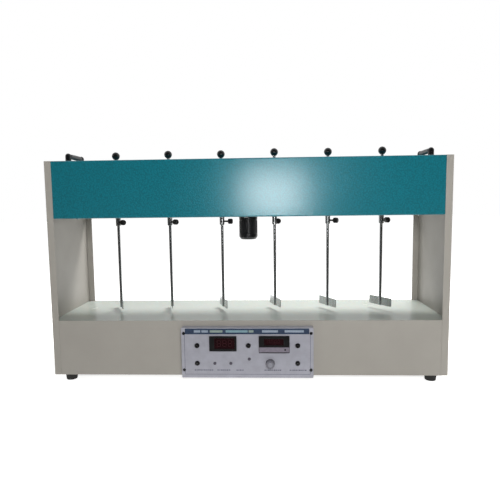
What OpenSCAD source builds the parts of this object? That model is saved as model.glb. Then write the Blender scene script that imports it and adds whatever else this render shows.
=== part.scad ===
// Six-place jar tester: a base with a control panel, two folded side panels, and a
// header whose single line of eleven equal spur gears turns six clamped stirrers.
// Millimetres, +Z up, front towards -Y. The origin is the middle of its floor area.

/* [Case] */
// Width over the two side panels
case_w = 1000; // [960:10:1200]
// Depth from front face to rear face
case_d = 254; // [236:2:320]
// Height of the header's top above the floor
case_h = 560; // [540:5:620]
// Height of the header
header_h = 143; // [110:1:180]
// Height of the base box, without its feet
base_h = 141; // [138:1:170]
// Thickness of the folded sheet
sheet_t = 2; // [1.5:0.25:2.5]
// Width of the side panels' returns, seen from the front
return_w = 18; // [14:1:24]
// Width of the lips on the folded covers
lip_w = 12; // [9:1:15]
// Outside radius of the folds
fold_r = 3; // [2.75:0.25:5]
// Thickness of the pale plate on top of the base
top_plate_t = 4; // [3:0.5:6]
// Gap between neighbouring case pieces
fit_gap = 0.3; // [0.2:0.05:0.4]
// Diameter of each rubber foot where it meets the base
foot_d = 30; // [22:1:36]
// Height of each rubber foot
foot_h = 16; // [10:1:25]
// Distance of each foot's axis from the nearest side
foot_inset = 38; // [32:1:60]
// Distance of each foot's axis from the nearest face
foot_setback = 17; // [17:1:60]

/* [Carrying handles] */
// Distance between the two posts of a handle
handle_pitch = 86; // [70:1:120]
// Height of a handle above the header
handle_h = 27; // [24:1:45]
// Diameter of a handle's post
handle_post_d = 15; // [12:1:17]
// Diameter of a handle's grip bar
handle_grip_d = 9; // [7:0.5:11]

/* [Gear train] */
// Module of the gears
gear_module = 1.75; // [1.7:0.025:1.85]
// Teeth on each gear, odd, so that a line of gears is in mesh all along
gear_teeth = 41; // [39:2:43]
// Face width of the gears
gear_face = 12; // [8:1:18]
// Clearance on each tooth flank
flank_gap = 0.12; // [0.08:0.02:0.2]
// Diameter of the hubs
hub_d = 24; // [22:1:28]
// Thickness of a gear's web
web_t = 6; // [4:0.5:8]
// Diameter of the fixed shafts that carry the idler gears
idler_shaft_d = 10; // [8:1:12]
// Thickness of the header's base plate
base_plate_t = 4; // [3:0.5:6]
// Thickness of the upper bearing plate
upper_plate_t = 3; // [2.5:0.5:5]
// Depth of the upper bearing plate
upper_plate_d = 130; // [122:2:150]
// Length of the pillars between the two plates
pillar_h = 48; // [42:1:60]
// Diameter of the pillars
pillar_d = 12; // [8:1:14]

/* [Spindles and stirrers] */
// Outside diameter of a spindle sleeve
sleeve_d = 14; // [13:0.5:16]
// Length of sleeve below the header
sleeve_drop = 25; // [20:1:35]
// Diameter of a stirrer rod
rod_d = 8; // [6:0.5:9]
// Radial clearance of a rod in its sleeve
rod_gap = 0.04; // [0.02:0.01:0.08]
// Length of a stirrer blade
blade_l = 75; // [50:1:76]
// Height of a stirrer blade
blade_h = 22.5; // [15:0.5:30]
// Thickness of a stirrer blade
blade_t = 1.6; // [1:0.2:3]
// Height of the blades above the base's top
blade_gap = 12.5; // [11:0.5:30]
// Diameter of a lift knob
lift_knob_d = 21; // [16:1:26]
// Bare rod between the header's top and a lift knob
lift_knob_gap = 16.5; // [15:0.5:30]
// Diameter of a thumb screw's head
thumb_d = 15; // [12:0.5:18]
// Length of a thumb screw's head
thumb_l = 13; // [8:0.5:14]
// Diameter of a thumb screw's stem
thumb_stem_d = 5; // [4:0.5:6]
// Distance from a rod's axis to a thumb screw's head
thumb_reach = 16.5; // [14:0.5:18]

/* [Motor] */
// Diameter of the geared motor
motor_d = 50; // [40:1:54]
// Height of the geared motor below the header
motor_h = 64; // [50:1:90]
// Diameter of the motor's output shaft
motor_shaft_d = 8; // [6:0.5:10]

/* [Control panel] */
// Width of the control panel
panel_w = 328; // [322:1:400]
// Height of the control panel
panel_h = 127; // [122:1:136]
// Thickness of the sheet that the control panel is folded from
panel_t = 1.5; // [1:0.25:3]
// How far the back of the control panel's plate stands out from the base
panel_out = 20; // [4:1:40]
// Diameter of a push button's cap
button_d = 8.5; // [6:0.5:9.5]
// Height of a push button's cap above its ring
button_h = 4; // [3.5:0.5:7]
// Travel of a push button
button_travel = 3; // [1:0.5:3]
// Diameter of the ring round a push button
button_ring_d = 13; // [12:0.5:16]
// Diameter of the speed knob
speed_knob_d = 23; // [18:1:28]
// Height of the speed knob
speed_knob_h = 14; // [10:0.5:20]
// Diameter of an indicator lamp
lamp_d = 8; // [6.5:0.5:10]
// Size of the left display's bezel
display_1 = [68, 38];
// Size of the right display's bezel
display_2 = [76, 43];
// Size of the left display's window
window_1 = [50, 27];
// Size of the right display's window
window_2 = [48, 16];
// Height of the bezels above the plate
bezel_h = 4; // [3:0.5:8]

/* [Mains inlet] */
// Width of the inlet's flange
inlet_w = 50; // [48:1:56]
// Height of the inlet's flange
inlet_h = 26; // [25:0.5:32]
// Thickness of the inlet's flange
inlet_flange_t = 2.5; // [2.5:0.25:4]

/* [Hidden] */
$fn = 48;
eps = 1;                 // overshoot of a cut
run_gap = 0.05;          // radial clearance of a turning fit
hole_gap = 0.1;          // radial clearance of a fastener or of a fixed piece in its hole
places = 6;

// Screws
screw_d = 4;
screw_head_d = 8;
screw_head_h = 2.2;
screw_crown_d = 5.6;     // flat top of a screw's head
screw_l = 9;
screw_hole_l = 40;       // a hole through every sheet that a screw passes
screw_grip = 4;          // shank beyond what a screw of the panel or the inlet holds

// Levels
base_z0 = foot_h;
base_z1 = foot_h + base_h;
header_z0 = case_h - header_h;
plate_z0 = header_z0 + sheet_t;
plate_z1 = plate_z0 + base_plate_t;
upper_z0 = plate_z1 + pillar_h;
upper_z1 = upper_z0 + upper_plate_t;
gear_z = (plate_z1 + upper_z0) / 2;

// The spindles stand mid-way between the case's faces. The case is moved back a little so
// that the box round everything, the speed knob and the inlet included, is centred.
knob_lift = 0.5;         // gap between the speed knob's skirt and the plate
front_proud = panel_out + panel_t + knob_lift + speed_knob_h;
rear_proud = inlet_flange_t + screw_head_h;
spindle_y = (front_proud - rear_proud) / 2;
front_y = spindle_y - case_d / 2;
rear_y = spindle_y + case_d / 2;
inner_x = case_w / 2 - sheet_t - fit_gap;        // end of what fits between the side sheets
cover_x = case_w / 2 - return_w - fit_gap;       // end of what fits between the returns

// Gears
pressure_angle = 20;
pitch_r = gear_module * gear_teeth / 2;
base_r = pitch_r * cos(pressure_angle);
root_r = pitch_r - 1.25 * gear_module;
tip_r = pitch_r + gear_module;
flank_share = 0.35;      // place of the flank's middle point between base and tip
flank_radii = [root_r, base_r, base_r + flank_share * (tip_r - base_r), tip_r];
tooth_half = 90 / gear_teeth - flank_gap / pitch_r * 180 / PI;
rim_t = 4;               // rim left between the teeth's roots and the web's recess
gear_holes = 5;
gear_hole_d = 9;
spindle_pitch = 4 * pitch_r;
function spindle_x(n) = (n - (places + 1) / 2) * spindle_pitch;
idler_x = [for (k = [-2, -1, 1, 2]) k * spindle_pitch];

// Bushes
bush_flange_t = 2;
bush_wall = 3;
bush_rim = 3;
bush_tail = 3;           // length of an upper bush above its plate
hub_gap = 0.3;           // end float of a hub between its bushes
hub_l = pillar_h - 2 * bush_flange_t - 2 * hub_gap;
idler_collar = 4;        // width of an idler shaft's collars

// Spindles: the angle of each thumb screw, the angle of each blade and the height at which
// each stirrer is clamped, as the photograph shows them
thumb_angle = [-40, -35, -3, -73, -26, -68];
blade_angle = [-67, -78, -69, -68, -60, -53];
stirrer_set = [-4, -2, -3, 0, -1.5, -0.5];
sleeve_z0 = header_z0 - sleeve_drop;
sleeve_nose_h = 1.5;     // height and width of the taper at a sleeve's lower end
sleeve_nose = 1;
sleeve_z1 = upper_z1 + 2 * bush_tail;
sleeve_bore = rod_d + 2 * rod_gap;
thumb_rise = 10;         // height of a thumb screw's axis above its sleeve's lower end
thumb_z = sleeve_z0 + thumb_rise;
blade_z0 = base_z1 + blade_gap;
knob_z0 = case_h + lift_knob_gap;
knob_socket = 12;        // depth of a rod's end in its lift knob
guide_wall = 3;
guide_d = rod_d + 2 * guide_wall;
guide_body_l = 8;        // length of a rod guide below the header's top
guide_flange_t = 2;
guide_rim = [3.5, 2];    // width of its flange, at the header and at the top
guide_gap = 0.08;

// Plates and pillars
pillar_x = [for (k = [-2.75, -0.75, 0.75, 2.75]) k * spindle_pitch];
pillar_inset = 10;       // distance of a pillar's axis from the upper plate's edge
pillar_y = upper_plate_d / 2 - pillar_inset;
upper_plate_over = 60;   // length of the upper plate beyond the outer spindles
upper_plate_x = 2.5 * spindle_pitch + upper_plate_over;

// Places of the screws
tab_h = 24;              // height of the upturned ends that the side panels screw to
side_screw_inset = 45;
side_screw_y = [for (s = [-1, 1]) spindle_y + s * (case_d / 2 - side_screw_inset)];
side_screw_z = [base_z0 + sheet_t + tab_h / 2, plate_z0 + base_plate_t + tab_h / 2];
cover_screw_inset = 58;  // distance of a cover's outer screws from its ends
cover_screw_x = cover_x - cover_screw_inset;
lip_screw_x = [-cover_screw_x, 0, cover_screw_x];
lip_screw_y = [front_y + sheet_t + lip_w / 2, rear_y - sheet_t - lip_w / 2];
rear_screw_rise = 10;
rear_screw_z = base_z0 + rear_screw_rise;
rear_lip_h = 16;
front_lip_h = 7;

// Control panel, a shallow tray: places are from the middle of the case and from the plate's
// lower edge
panel_back_y = front_y - panel_out;
panel_y = panel_back_y - panel_t;
panel_rise = 1;          // distance of the plate's lower edge from the base's
panel_z0 = base_z0 + panel_rise;
panel_screw_inset = [6, 20, 14];     // from the plate's ends, its lower and its upper edge
panel_screw = [panel_w / 2 - panel_screw_inset[0], panel_screw_inset[1],
               panel_h - panel_screw_inset[2]];
panel_post_d = 8;
panel_overlap = [13, 11];    // plate beyond the opening behind it
panel_cut = [panel_w - 2 * panel_overlap[0], panel_h - 2 * panel_overlap[1]];
panel_corner_r = 2;
button_places = [[-125, 82], [-125, 37], [3, 82], [125, 82], [125, 37]];
lamp_places = [[-81, 37], [-41, 37], [5, 48]];
knob_place = [57, 37];
display_1_place = [-60, 87.5];
display_2_place = [67, 85.5];
window_1_shift = [4, 1];
window_2_shift = [-1, 6.5];
display_body_l = 42;
display_corner_r = 1.5;
window_sunk = 0.5;       // depth of a window behind its bezel's face
display_inset = 3;       // step from a bezel's edge to the meter's body behind the plate
window_t = 1.5;
button_barrel_l = 16;
button_wall = 1.2;
button_inside = 8;       // length of cap that stays in the barrel
button_edge = 0.8;       // bevel round a cap
button_ring_slope = 0.75;
ring_h = 2;
lamp_rim = 1;            // width of the rim round a lamp's lens
lamp_rim_h = 1.5;
lamp_barrel_l = 12;
pot_d = 16;
pot_l = 12;
pot_bush_d = 9;
pot_shaft_d = 6;
pot_shaft_in = 10;
pot_proud = 3;           // length of its threaded bush in front of the plate
knob_skirt_h = 2;
knob_skirt_w = 1;
knob_cap_w = 2;          // step from the fluted body in to the cap
knob_cap_h = 1;
knob_flute_n = 10;
knob_flute_d = 5;
knob_flute_out = 1.6;    // distance of a flute's axis outside the body
knob_roof_t = 2;         // knob left in front of its shaft

// Base
louvre_n = 9;
louvre_w = 56;
louvre_h = 3;
louvre_step = 9;
louvre_rise = 34;        // height of the lowest louvre above the base's lower edge
louvre_inset = [152, 352];   // distance of each group from its end of the cover
louvre_x = [louvre_inset[0] - cover_x, cover_x - louvre_inset[1]];
inlet_inset = 102;
inlet_x = cover_x - inlet_inset;
inlet_rise = 45;
inlet_z = base_z0 + inlet_rise;
inlet_body = [28, 20.5, 20];
inlet_recess = [24.5, 17, 16];
inlet_screw_x = 20;
inlet_corner_r = 5;
inlet_pin = [2, 12, 4];
inlet_pins = [[-7, -4], [0, 0], [7, -4]];
tube_d = 26;
tube_l = 590;
tube_inset = 65;         // distance of the tube's axis from the rear face
tube_y = rear_y - tube_inset;
tube_drop = 4;           // distance of the tube from the top of its holders
holder = [22, 40, 50];
fitting_section = [44, 22];
fitting_end = 3;         // fitting beyond the tube's holders
fitting = [tube_l + 2 * (holder[0] + fitting_end), fitting_section[0], fitting_section[1]];
board = [180, 90, 1.6];
board_inset = 107;       // distance of the board's middle from the front face
board_place = [-70, front_y + board_inset];
standoff_d = 6;
standoff_h = 8;
standoff_inset = 8;
capacitor_d = 18;
capacitor_h = 30;
capacitor_places = [[-60, 18], [-36, 18]];
relay = [60, 24, 14];
relay_place = [10, -30];
transformer = [66, 55, 52];
transformer_place = [90, board_place[1]];

// Motor
motor_end_h = 6;         // height of the cast end cover
motor_end_step = 1;
motor_end_taper = 1.5;
motor_rib_n = 18;        // grooves between the shell's ribs
motor_groove_d = 2;
motor_plain_h = [12, 16];    // plain shell below and above the ribs
motor_bore_l = 20;
drive_shaft_in = 18;     // length of the shaft inside the motor

// Handles, feet and small edges
handle_flare = 1.5;
handle_foot_h = 5;
handle_inset = 2;        // distance of the posts from the hood's end
foot_taper = 1.5;
foot_bolt_d = 9;
blade_corner_r = 2;
thumb_edge = 1;
thumb_groove_n = 12;
thumb_groove_d = 2.4;
thumb_groove_out = 0.4;  // distance of a groove's axis outside the head

// ---- Helpers ----

// A box between two corners
module block(low, high) {
    translate(low) cube(high - low);
}

// A rod or a hole along X, between two places
module bar_x(d, x0, x1) {
    translate([x0, 0, 0]) rotate([0, 90, 0]) cylinder(d = d, h = x1 - x0);
}

// Places children on the front face, their +Z towards the viewer and their +Y up
module on_front(place, y = front_y) {
    translate([place[0], y, panel_z0 + place[1]]) rotate([90, 0, 0]) children();
}

// A rectangle round the origin with round corners, as true arcs
module round_rect(w, h, r) {
    square([w - 2 * r, h], center = true);
    square([w, h - 2 * r], center = true);
    for (x = [-1, 1], y = [-1, 1])
        translate([x * (w / 2 - r), y * (h / 2 - r)]) circle(r);
}

// A pan-head screw whose head seats at z = 0 and whose shank points down
module screw(l = screw_l) {
    cylinder(d1 = screw_head_d, d2 = screw_crown_d, h = screw_head_h);
    translate([0, 0, -l]) cylinder(d = screw_d, h = l + 0.1);
}

module screw_hole(l = screw_hole_l) {
    translate([0, 0, -l / 2]) cylinder(d = screw_d + 2 * hole_gap, h = l);
}

module at_side_screws() {
    for (s = [-1, 1], y = side_screw_y, z = side_screw_z)
        translate([s * case_w / 2, y, z]) rotate([0, s * 90, 0]) children();
}

module at_lip_screws() {
    for (x = lip_screw_x, y = lip_screw_y)
        translate([x, y, header_z0]) rotate([180, 0, 0]) children();
}

module at_rear_screws() {
    for (x = [-1, 1])
        translate([x * cover_screw_x, rear_y, rear_screw_z]) rotate([-90, 0, 0]) children();
}

module at_panel_screws(y) {
    for (x = [-1, 1], z = [panel_screw[1], panel_screw[2]])
        on_front([x * panel_screw[0], z], y) children();
}

// ---- Case ----

module side_panel(s) {
    color("#c9c6b8")
    difference() {
        mirror([s < 0 ? 1 : 0, 0, 0])
        difference() {
            translate([case_w / 2 - return_w, spindle_y, base_z0])
                linear_extrude(case_h - base_z0) {
                    translate([return_w / 2, 0]) round_rect(return_w, case_d, fold_r);
                    translate([0, -case_d / 2]) square([return_w / 2, case_d]);
                }
            block([case_w / 2 - return_w - eps, front_y + sheet_t, base_z0 - eps],
                  [case_w / 2 - sheet_t, rear_y - sheet_t, case_h - sheet_t]);
        }
        at_side_screws() screw_hole();
    }
}

module left_side_panel() { side_panel(-1); }
module right_side_panel() { side_panel(1); }

module base_tray() {
    tray_y0 = front_y + sheet_t + fit_gap;
    tray_y1 = rear_y - sheet_t - fit_gap;
    color("#c9c6b8")
    difference() {
        union() {
            block([-inner_x, tray_y0, base_z0], [inner_x, tray_y1, base_z0 + sheet_t]);
            for (s = [0, 1]) mirror([s, 0, 0])
                block([inner_x - sheet_t, tray_y0, base_z0], [inner_x, tray_y1, base_z0 + tab_h]);
            block([-inner_x, tray_y0, base_z0],
                  [inner_x, tray_y0 + sheet_t, base_z0 + front_lip_h]);
            block([-inner_x, tray_y1 - sheet_t, base_z0],
                  [inner_x, tray_y1, base_z0 + rear_lip_h]);
        }
        at_side_screws() screw_hole();
        at_rear_screws() screw_hole();
    }
}

// A face of the base with a lip along its top, which carries the pale plate
module base_face() {
    lip_z = base_z1 - top_plate_t - fit_gap;
    block([-cover_x, 0, base_z0], [cover_x, sheet_t, base_z1]);
    block([-cover_x, 0, lip_z - sheet_t], [cover_x, sheet_t + lip_w, lip_z]);
}

module base_front_panel() {
    color("#c9c6b8")
    difference() {
        translate([0, front_y, 0]) base_face();
        on_front([0, panel_h / 2], front_y + sheet_t + eps)
            linear_extrude(sheet_t + 2 * eps) round_rect(panel_cut[0], panel_cut[1], 4);
        at_panel_screws(front_y) screw_hole();
    }
}

module base_rear_cover() {
    color("#c9c6b8")
    difference() {
        translate([0, rear_y, 0]) mirror([0, 1, 0]) base_face();
        for (x = louvre_x, k = [0 : louvre_n - 1])
            block([x, rear_y - sheet_t - eps, base_z0 + louvre_rise + k * louvre_step],
                  [x + louvre_w, rear_y + eps, base_z0 + louvre_rise + k * louvre_step + louvre_h]);
        translate([inlet_x, rear_y, inlet_z])
            block([-inlet_body[0] / 2 - fit_gap, -sheet_t - eps, -inlet_body[1] / 2 - fit_gap],
                  [inlet_body[0] / 2 + fit_gap, eps, inlet_body[1] / 2 + fit_gap]);
        at_inlet_screws() screw_hole();
        at_rear_screws() screw_hole();
    }
}

module base_top_plate() {
    color("#e4e8e2")
    block([-inner_x, front_y + sheet_t + fit_gap, base_z1 - top_plate_t],
          [inner_x, rear_y - sheet_t - fit_gap, base_z1]);
}

module base_lamp() {
    translate([0, tube_y, base_z0 + sheet_t]) {
        color("#e8e8e4")
            block([-fitting[0] / 2, -fitting[1] / 2, 0], [fitting[0] / 2, fitting[1] / 2, fitting[2]]);
        for (s = [-1, 1]) color("#f2f2f0")
            translate([s * (tube_l + holder[0]) / 2, 0, fitting[2] + holder[2] / 2])
                cube(holder, center = true);
        color("#ffffff")
            translate([0, 0, fitting[2] + holder[2] - tube_d / 2 - tube_drop])
                bar_x(tube_d, -tube_l / 2, tube_l / 2);
    }
}

module control_board() {
    floor_z = base_z0 + sheet_t;
    color("#2f6b3c")
    translate([board_place[0], board_place[1], floor_z + standoff_h]) {
        translate([-board[0] / 2, -board[1] / 2, 0]) cube(board);
        for (x = [-1, 1], y = [-1, 1])
            translate([x * (board[0] / 2 - standoff_inset), y * (board[1] / 2 - standoff_inset),
                       -standoff_h])
                cylinder(d = standoff_d, h = standoff_h);
        for (p = capacitor_places) translate([p[0], p[1], board[2]])
            cylinder(d = capacitor_d, h = capacitor_h);
        translate([relay_place[0], relay_place[1], board[2]]) cube(relay);
    }
    color("#7d6a4a")
    translate([transformer_place[0], transformer_place[1], floor_z])
        translate([-transformer[0] / 2, -transformer[1] / 2, 0]) cube(transformer);
}

module feet() {
    color("#1c1c1c")
    for (x = [-1, 1], y = [-1, 1])
        translate([x * (case_w / 2 - foot_inset), spindle_y + y * (case_d / 2 - foot_setback), 0])
            difference() {
                cylinder(d1 = foot_d - 2 * foot_taper, d2 = foot_d, h = foot_h);
                translate([0, 0, -eps]) cylinder(d = foot_bolt_d, h = foot_h / 2 + eps);
            }
}

// ---- Header ----

module header_hood() {
    gap_w = case_d - 2 * (sheet_t + lip_w);
    color("#17757c")
    difference() {
        translate([-cover_x, spindle_y, header_z0 + header_h / 2])
            rotate([90, 0, 90]) linear_extrude(2 * cover_x)
                difference() {
                    round_rect(case_d, header_h, fold_r);
                    square([case_d - 2 * sheet_t, header_h - 2 * sheet_t], center = true);
                    translate([-gap_w / 2, -header_h]) square([gap_w, header_h]);
                }
        for (n = [1 : places])
            translate([spindle_x(n), spindle_y, case_h - sheet_t - eps])
                cylinder(d = guide_d + 2 * hole_gap, h = sheet_t + 2 * eps);
        at_lip_screws() screw_hole();
    }
}

module header_base_plate() {
    plate_d = case_d - 2 * (sheet_t + fit_gap);
    color("#a8abad")
    difference() {
        translate([0, spindle_y, 0])
        union() {
            block([-inner_x, -plate_d / 2, plate_z0], [inner_x, plate_d / 2, plate_z1]);
            for (s = [0, 1]) mirror([s, 0, 0])
                block([inner_x - base_plate_t, -plate_d / 2, plate_z0],
                      [inner_x, plate_d / 2, plate_z0 + tab_h]);
        }
        for (n = [1 : places])
            translate([spindle_x(n), spindle_y, plate_z0 - eps])
                cylinder(d = sleeve_d + 2 * bush_wall + 2 * hole_gap, h = base_plate_t + 2 * eps);
        for (x = idler_x)
            translate([x, spindle_y, plate_z0 - eps])
                cylinder(d = idler_shaft_d + 2 * hole_gap, h = base_plate_t + 2 * eps);
        translate([0, spindle_y, plate_z0 - eps])
            cylinder(d = hub_d + 2 * hole_gap, h = base_plate_t + 2 * eps);
        at_side_screws() screw_hole();
        at_lip_screws() screw_hole();
    }
}

module upper_bearing_plate() {
    color("#a8abad")
    difference() {
        translate([0, spindle_y, 0])
            block([-upper_plate_x, -upper_plate_d / 2, upper_z0],
                  [upper_plate_x, upper_plate_d / 2, upper_z1]);
        for (n = [1 : places])
            translate([spindle_x(n), spindle_y, upper_z0 - eps])
                cylinder(d = sleeve_d + 2 * bush_wall + 2 * hole_gap, h = upper_plate_t + 2 * eps);
        for (x = idler_x)
            translate([x, spindle_y, upper_z0 - eps])
                cylinder(d = idler_shaft_d + 2 * hole_gap, h = upper_plate_t + 2 * eps);
        translate([0, spindle_y, upper_z0 - eps])
            cylinder(d = motor_shaft_d + 2 * bush_wall + 2 * hole_gap, h = upper_plate_t + 2 * eps);
    }
}

module plate_pillars() {
    color("#c2c4c6")
    for (x = pillar_x, s = [-1, 1])
        translate([x, spindle_y + s * pillar_y, plate_z1]) cylinder(d = pillar_d, h = pillar_h);
}

// A flanged bush on Z with its flange from z = 0 up and its body below
module bush(shaft_d, body_l) {
    body_d = shaft_d + 2 * bush_wall;
    difference() {
        union() {
            cylinder(d = body_d + 2 * bush_rim, h = bush_flange_t);
            translate([0, 0, -body_l]) cylinder(d = body_d, h = body_l + bush_flange_t / 2);
        }
        translate([0, 0, -body_l - eps])
            cylinder(d = shaft_d + 2 * run_gap, h = body_l + bush_flange_t + 2 * eps);
    }
}

module shaft_bushes() {
    color("#b08d57") {
        for (n = [1 : places]) translate([spindle_x(n), spindle_y, 0]) {
            translate([0, 0, plate_z1]) bush(sleeve_d, base_plate_t + sheet_t);
            translate([0, 0, upper_z0]) rotate([180, 0, 0]) bush(sleeve_d, upper_plate_t + bush_tail);
        }
        translate([0, spindle_y, upper_z0])
            rotate([180, 0, 0]) bush(motor_shaft_d, upper_plate_t + bush_tail);
    }
}

module idler_shafts() {
    color("#c2c4c6")
    for (x = idler_x) translate([x, spindle_y, 0]) {
        translate([0, 0, plate_z0]) cylinder(d = idler_shaft_d, h = upper_z1 - plate_z0);
        translate([0, 0, plate_z1]) cylinder(d = idler_shaft_d + 2 * idler_collar, h = bush_flange_t);
        translate([0, 0, upper_z0 - bush_flange_t])
            cylinder(d = idler_shaft_d + 2 * idler_collar, h = bush_flange_t);
    }
}

module rod_guides() {
    color("#1c1c1c")
    for (n = [1 : places]) translate([spindle_x(n), spindle_y, case_h])
        difference() {
            union() {
                cylinder(d1 = guide_d + 2 * guide_rim[0], d2 = guide_d + 2 * guide_rim[1],
                         h = guide_flange_t);
                translate([0, 0, -guide_body_l])
                    cylinder(d = guide_d, h = guide_body_l + guide_flange_t / 2);
            }
            translate([0, 0, -guide_body_l - eps])
                cylinder(d = rod_d + 2 * guide_gap,
                         h = guide_body_l + guide_flange_t + 2 * eps);
        }
}

module gear_motor() {
    shell_z0 = header_z0 - motor_h + motor_end_h;
    translate([0, spindle_y, 0])
    difference() {
        union() {
            color("#202020") translate([0, 0, shell_z0]) cylinder(d = motor_d, h = plate_z0 - shell_z0);
            color("#6c6c6c") translate([0, 0, header_z0 - motor_h])
                cylinder(d1 = motor_d - 2 * (motor_end_step + motor_end_taper),
                         d2 = motor_d - 2 * motor_end_step, h = motor_end_h);
            color("#202020") translate([0, 0, plate_z0]) cylinder(d = hub_d, h = base_plate_t);
        }
        for (k = [0 : motor_rib_n - 1]) rotate(k * 360 / motor_rib_n)
            translate([motor_d / 2, 0, shell_z0 + motor_plain_h[0]])
                cylinder(d = motor_groove_d,
                         h = header_z0 - shell_z0 - motor_plain_h[0] - motor_plain_h[1], $fn = 4);
        translate([0, 0, plate_z0 - motor_bore_l])
            cylinder(d = motor_shaft_d + 2 * run_gap, h = motor_bore_l + base_plate_t + eps);
    }
}

module carry_handles() {
    grip_z = case_h + handle_h - handle_post_d / 2;
    for (s = [-1, 1])
    translate([s * (cover_x - handle_post_d / 2 - handle_inset), spindle_y, 0]) {
        color("#1c1c1c")
        for (e = [-1, 1]) translate([0, e * handle_pitch / 2, case_h]) {
            cylinder(d1 = handle_post_d + 2 * handle_flare, d2 = handle_post_d, h = handle_foot_h);
            cylinder(d = handle_post_d, h = handle_h - handle_post_d / 2);
            translate([0, 0, handle_h - handle_post_d / 2]) sphere(d = handle_post_d);
        }
        color("#8d8f91") translate([0, 0, grip_z]) rotate([90, 0, 0])
            cylinder(d = handle_grip_d, h = handle_pitch, center = true);
    }
}

// ---- Gear train ----

function involute(angle) = tan(angle) * 180 / PI - angle;
function flank_angle(r) =
    tooth_half + involute(pressure_angle) - involute(acos(min(1, base_r / r)));
function polar(r, angle) = [r * cos(angle), r * sin(angle)];
function tooth(centre) = concat(
    [for (r = flank_radii) polar(r, centre - flank_angle(r))],
    [for (k = [len(flank_radii) - 1 : -1 : 0])
        polar(flank_radii[k], centre + flank_angle(flank_radii[k]))]);
gear_outline = [for (k = [0 : gear_teeth - 1]) each tooth(k * 360 / gear_teeth)];

// A spur gear on a long hub, its web recessed and pierced, centred on z = 0
module gear(bore) {
    recess = (gear_face - web_t) / 2;
    recess_r = root_r - rim_t;
    hole_r = (recess_r + hub_d / 2) / 2;
    difference() {
        union() {
            difference() {
                translate([0, 0, -gear_face / 2]) linear_extrude(gear_face) polygon(gear_outline);
                for (z = [-gear_face / 2 - eps, gear_face / 2 - recess])
                    translate([0, 0, z]) cylinder(r = recess_r, h = recess + eps);
                for (k = [0 : gear_holes - 1]) rotate(k * 360 / gear_holes)
                    translate([hole_r, 0, -gear_face]) cylinder(d = gear_hole_d, h = 2 * gear_face);
            }
            translate([0, 0, -hub_l / 2]) cylinder(d = hub_d, h = hub_l);
        }
        translate([0, 0, -hub_l]) cylinder(d = bore, h = 2 * hub_l);
    }
}

module idler_gear(k) {
    color("#d8d4c4") translate([idler_x[k], spindle_y, gear_z])
        gear(idler_shaft_d + 2 * run_gap);
}

module drive_gear() {
    color("#8f9498") translate([0, spindle_y, 0]) {
        translate([0, 0, gear_z]) gear(motor_shaft_d + 2 * run_gap);
        translate([0, 0, plate_z0 - drive_shaft_in])
            cylinder(d = motor_shaft_d, h = upper_z1 + bush_tail - plate_z0 + drive_shaft_in);
    }
}

// ---- Spindles and stirrers ----

module spindle(n) {
    color("#8f9498") translate([spindle_x(n), spindle_y, 0]) {
        translate([0, 0, gear_z]) gear(sleeve_d + 2 * run_gap);
        difference() {
            union() {
                translate([0, 0, sleeve_z0])
                    cylinder(d1 = sleeve_d - 2 * sleeve_nose, d2 = sleeve_d, h = sleeve_nose_h);
                translate([0, 0, sleeve_z0 + sleeve_nose_h])
                    cylinder(d = sleeve_d, h = sleeve_z1 - sleeve_z0 - sleeve_nose_h);
            }
            translate([0, 0, sleeve_z0 - eps])
                cylinder(d = sleeve_bore, h = sleeve_z1 - sleeve_z0 + 2 * eps);
            translate([0, 0, thumb_z]) rotate([0, 0, thumb_angle[n - 1]])
                bar_x(thumb_stem_d + 2 * run_gap, 0, sleeve_d);
        }
    }
}

module thumb_screw(n) {
    color("#1c1c1c")
    translate([spindle_x(n), spindle_y, thumb_z]) rotate([0, 0, thumb_angle[n - 1]]) {
        bar_x(thumb_stem_d, rod_d / 2 + 0.1, thumb_reach + 1);
        translate([thumb_reach, 0, 0]) rotate([0, 90, 0]) difference() {
            union() {
                cylinder(d1 = thumb_d - 2 * thumb_edge, d2 = thumb_d, h = thumb_edge);
                translate([0, 0, thumb_edge]) cylinder(d = thumb_d, h = thumb_l - 2 * thumb_edge);
                translate([0, 0, thumb_l - thumb_edge])
                    cylinder(d1 = thumb_d, d2 = thumb_d - 2 * thumb_edge, h = thumb_edge);
            }
            for (k = [0 : thumb_groove_n - 1]) rotate(k * 360 / thumb_groove_n)
                translate([thumb_d / 2 + thumb_groove_out, 0, -eps])
                    cylinder(d = thumb_groove_d, h = thumb_l + 2 * eps, $fn = 16);
        }
    }
}

// A rod with a flat blade let into its lower end
module stirrer(n) {
    color("#b9bcbf")
    translate([spindle_x(n), spindle_y, blade_z0 + stirrer_set[n - 1]])
    rotate([0, 0, blade_angle[n - 1]]) {
        cylinder(d = rod_d, h = knob_z0 + knob_socket - blade_z0);
        translate([0, blade_t / 2, blade_h / 2]) rotate([90, 0, 0]) linear_extrude(blade_t)
            round_rect(blade_l, blade_h, blade_corner_r);
    }
}

// A ball knob with a flat foot, bored for the rod's end
module lift_knob(n) {
    color("#1c1c1c")
    translate([spindle_x(n), spindle_y, knob_z0 + stirrer_set[n - 1]])
    difference() {
        union() {
            translate([0, 0, lift_knob_d / 2 - 1]) sphere(d = lift_knob_d);
            cylinder(d = lift_knob_d * 0.6, h = lift_knob_d / 3);
        }
        translate([0, 0, -lift_knob_d]) cylinder(d = lift_knob_d, h = lift_knob_d);
        translate([0, 0, -eps]) cylinder(d = rod_d + 2 * rod_gap, h = knob_socket + 0.2 + eps);
    }
}

// ---- Control panel ----

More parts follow.
